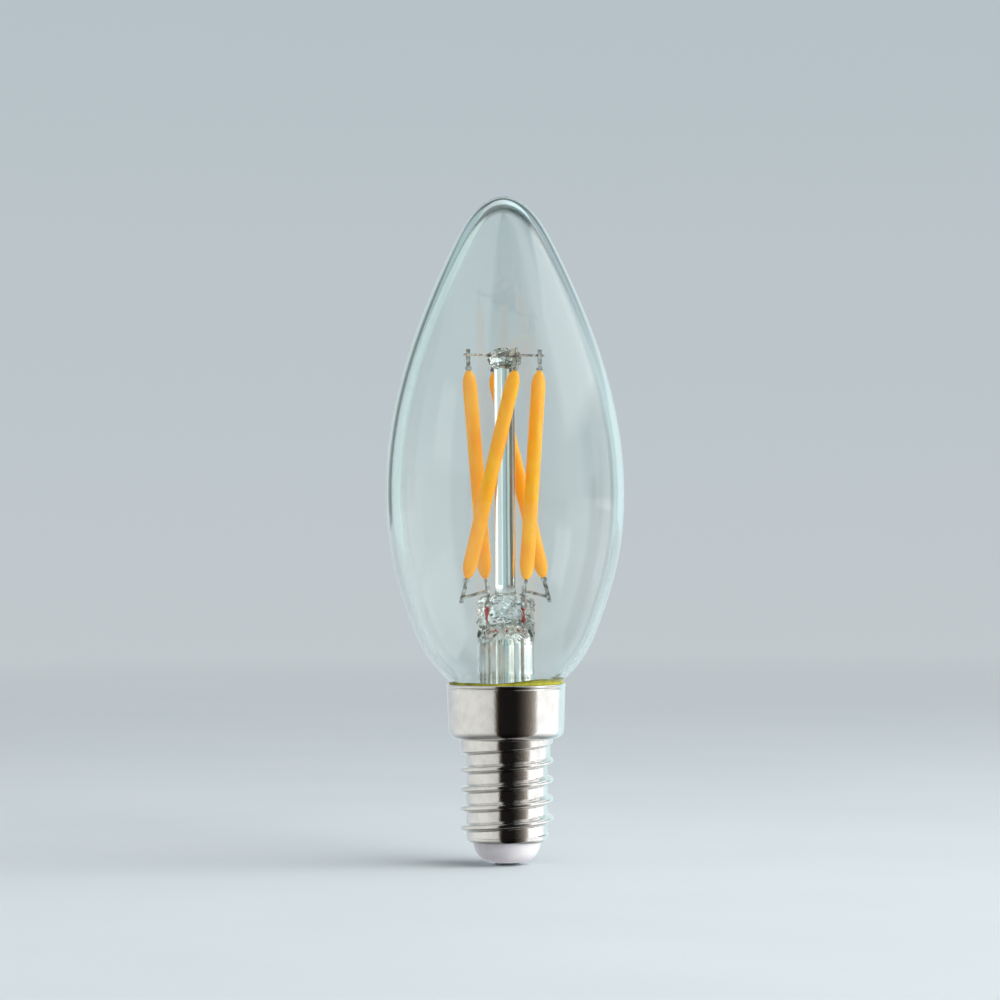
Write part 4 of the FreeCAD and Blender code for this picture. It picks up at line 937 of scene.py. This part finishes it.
def card(name, azimuths, heights, tint, strength, polished=False):
    """A flat card out of the picture, between two azimuths and two heights in mm, faded at its
    edges. Only rays through glass see it, and polished metal where it says so: it gives the
    glass its bright and dark edges, and lights nothing."""
    middle = math.radians(sum(azimuths) / 2)
    width = 2 * CARD_DISTANCE * math.tan(math.radians(azimuths[1] - azimuths[0]) / 2)
    centre = Vector((math.sin(middle) * CARD_DISTANCE, -math.cos(middle) * CARD_DISTANCE,
                     sum(heights) / 2)) * MM
    piece = fresh(bpy.ops.mesh.primitive_plane_add, name, size=1, location=centre,
                  rotation=(math.radians(90), 0, middle))
    piece.scale = (width * MM, (heights[1] - heights[0]) * MM, 1)
    bpy.ops.object.transform_apply(location=True, rotation=True, scale=True)
    material, tree, output, place = new_material(name + "_face")
    across = place.node.outputs["UV"]
    parts = add_node(tree, "ShaderNodeSeparateXYZ", {"Vector": across}).outputs
    faded = []
    for side in ("X", "Y"):
        rest = reckoned(tree, "SUBTRACT", 1.0, parts[side])
        hump = reckoned(tree, "MULTIPLY", rest, parts[side])
        faded.append(level(tree, hump, 0.0, 0.13, 0.0, 1.0))
    share = reckoned(tree, "MULTIPLY", *faded)
    clear = add_node(tree, "ShaderNodeBsdfTransparent").outputs[0]
    glow = add_node(tree, "ShaderNodeEmission", {"Color": colour(tint), "Strength": strength})
    face = add_node(tree, "ShaderNodeMixShader", {0: share, 1: clear, 2: glow.outputs[0]})
    tree.links.new(face.outputs[0], output.inputs["Surface"])
    piece.data.materials.append(material)
    piece.visible_camera = False
    piece.visible_diffuse = False
    piece.visible_shadow = False
    piece.visible_glossy = polished


def cards():
    """White and pale cards at both sides, and dark ones in front, behind and at the left."""
    card("white_card_right_rear", (142, 169), (-50, 270), "#DDF1F4", 0.95)
    card("white_card_right_side", (98, 128), (-50, 400), "#FFFFFF", 1.4)
    card("white_card_right_high", (60, 130), (330, 1300), "#FFFFFF", 1.7, True)
    card("white_card_left_high", (-78, -54), (200, 700), "#FFFFFF", 1.6)
    card("pale_card_left_rear", (-172, -160), (-50, 400), "#C9DEDE", 1.0)
    card("dark_card_left_rear", (-160, -146), (-50, 500), "#4E5E58", 1.0)
    card("dark_card_rear_high", (150, 205), (300, 1000), "#2E3A37", 1.0)
    card("pale_card_left_high", (-155, -128), (300, 1000), "#A9C4C8", 1.0)
    card("dark_card_left_side", (-128, -98), (-50, 800), "#101214", 1.0)
    card("dark_card_front_right", (10, 37), (-100, 900), "#0E0E0E", 1.0)
    card("dark_card_front_left", (-38, -10), (-100, 900), "#0E0E0E", 1.0)


def panel_light(name, place, target, width, height, power, tint):
    """A soft panel at a place, turned to a target; glass and metal don't mirror it."""
    data = bpy.data.lights.new(name, "AREA")
    data.shape = "RECTANGLE"
    data.size = width * MM
    data.size_y = height * MM
    data.energy = power
    data.color = colour(tint)[:3]
    lamp = bpy.data.objects.new(name, data)
    bpy.context.scene.collection.objects.link(lamp)
    lamp.location = Vector(place) * MM
    aim = (Vector(target) - Vector(place)).normalized()
    lamp.rotation_mode = "QUATERNION"
    lamp.rotation_quaternion = aim.to_track_quat("-Z", "Y")
    lamp.visible_glossy = False
    lamp.visible_transmission = False


def lights():
    """Strong soft panel at the right, a weaker one at the left and a soft one overhead."""
    middle = (0, 0, 50)
    panel_light("right_panel", (570, -300, 200), middle, 900, 900, 8.4, "#FFFDF8")
    panel_light("left_panel", (-780, -60, 160), middle, 700, 900, 1.0, "#FFF6EA")
    panel_light("top_panel", (60, -120, 900), middle, 400, 400, 1.9, "#FFFFFF")


def camera():
    """Level view along +Y, far off with a long lens, as the picture was taken."""
    data = bpy.data.cameras.new("picture_camera")
    data.lens = CAMERA_LENS
    data.sensor_width = CAMERA_SENSOR
    view = bpy.data.objects.new("picture_camera", data)
    bpy.context.scene.collection.objects.link(view)
    view.location = [value * MM for value in CAMERA_PLACE]
    view.rotation_euler = (math.radians(90), math.radians(CAMERA_ROLL), 0)
    bpy.context.scene.camera = view


def dress_nodes():
    """Gives every solid that is shown as it is the material of its slot."""
    for row in frame["record"]["subparts"]:
        piece = NODES[row["node"]]
        piece.data.materials.clear()
        piece.data.materials.append(MATERIALS[row["material_slot"]])


dress_nodes()
glass_envelope()
cap_shell()
cement_ring()
insulator()
centre_contact()
glass_stem()
exhaust_tube()
glass_pillar()
for number in (1, 2, 3, 4):
    filament(number)
backdrop()
surroundings()
cards()
lights()
camera()

scene = bpy.context.scene
scene.view_settings.view_transform = "Standard"
scene.cycles.max_bounces = 28
scene.cycles.transmission_bounces = 24
scene.cycles.glossy_bounces = 12
scene.cycles.transparent_max_bounces = 16
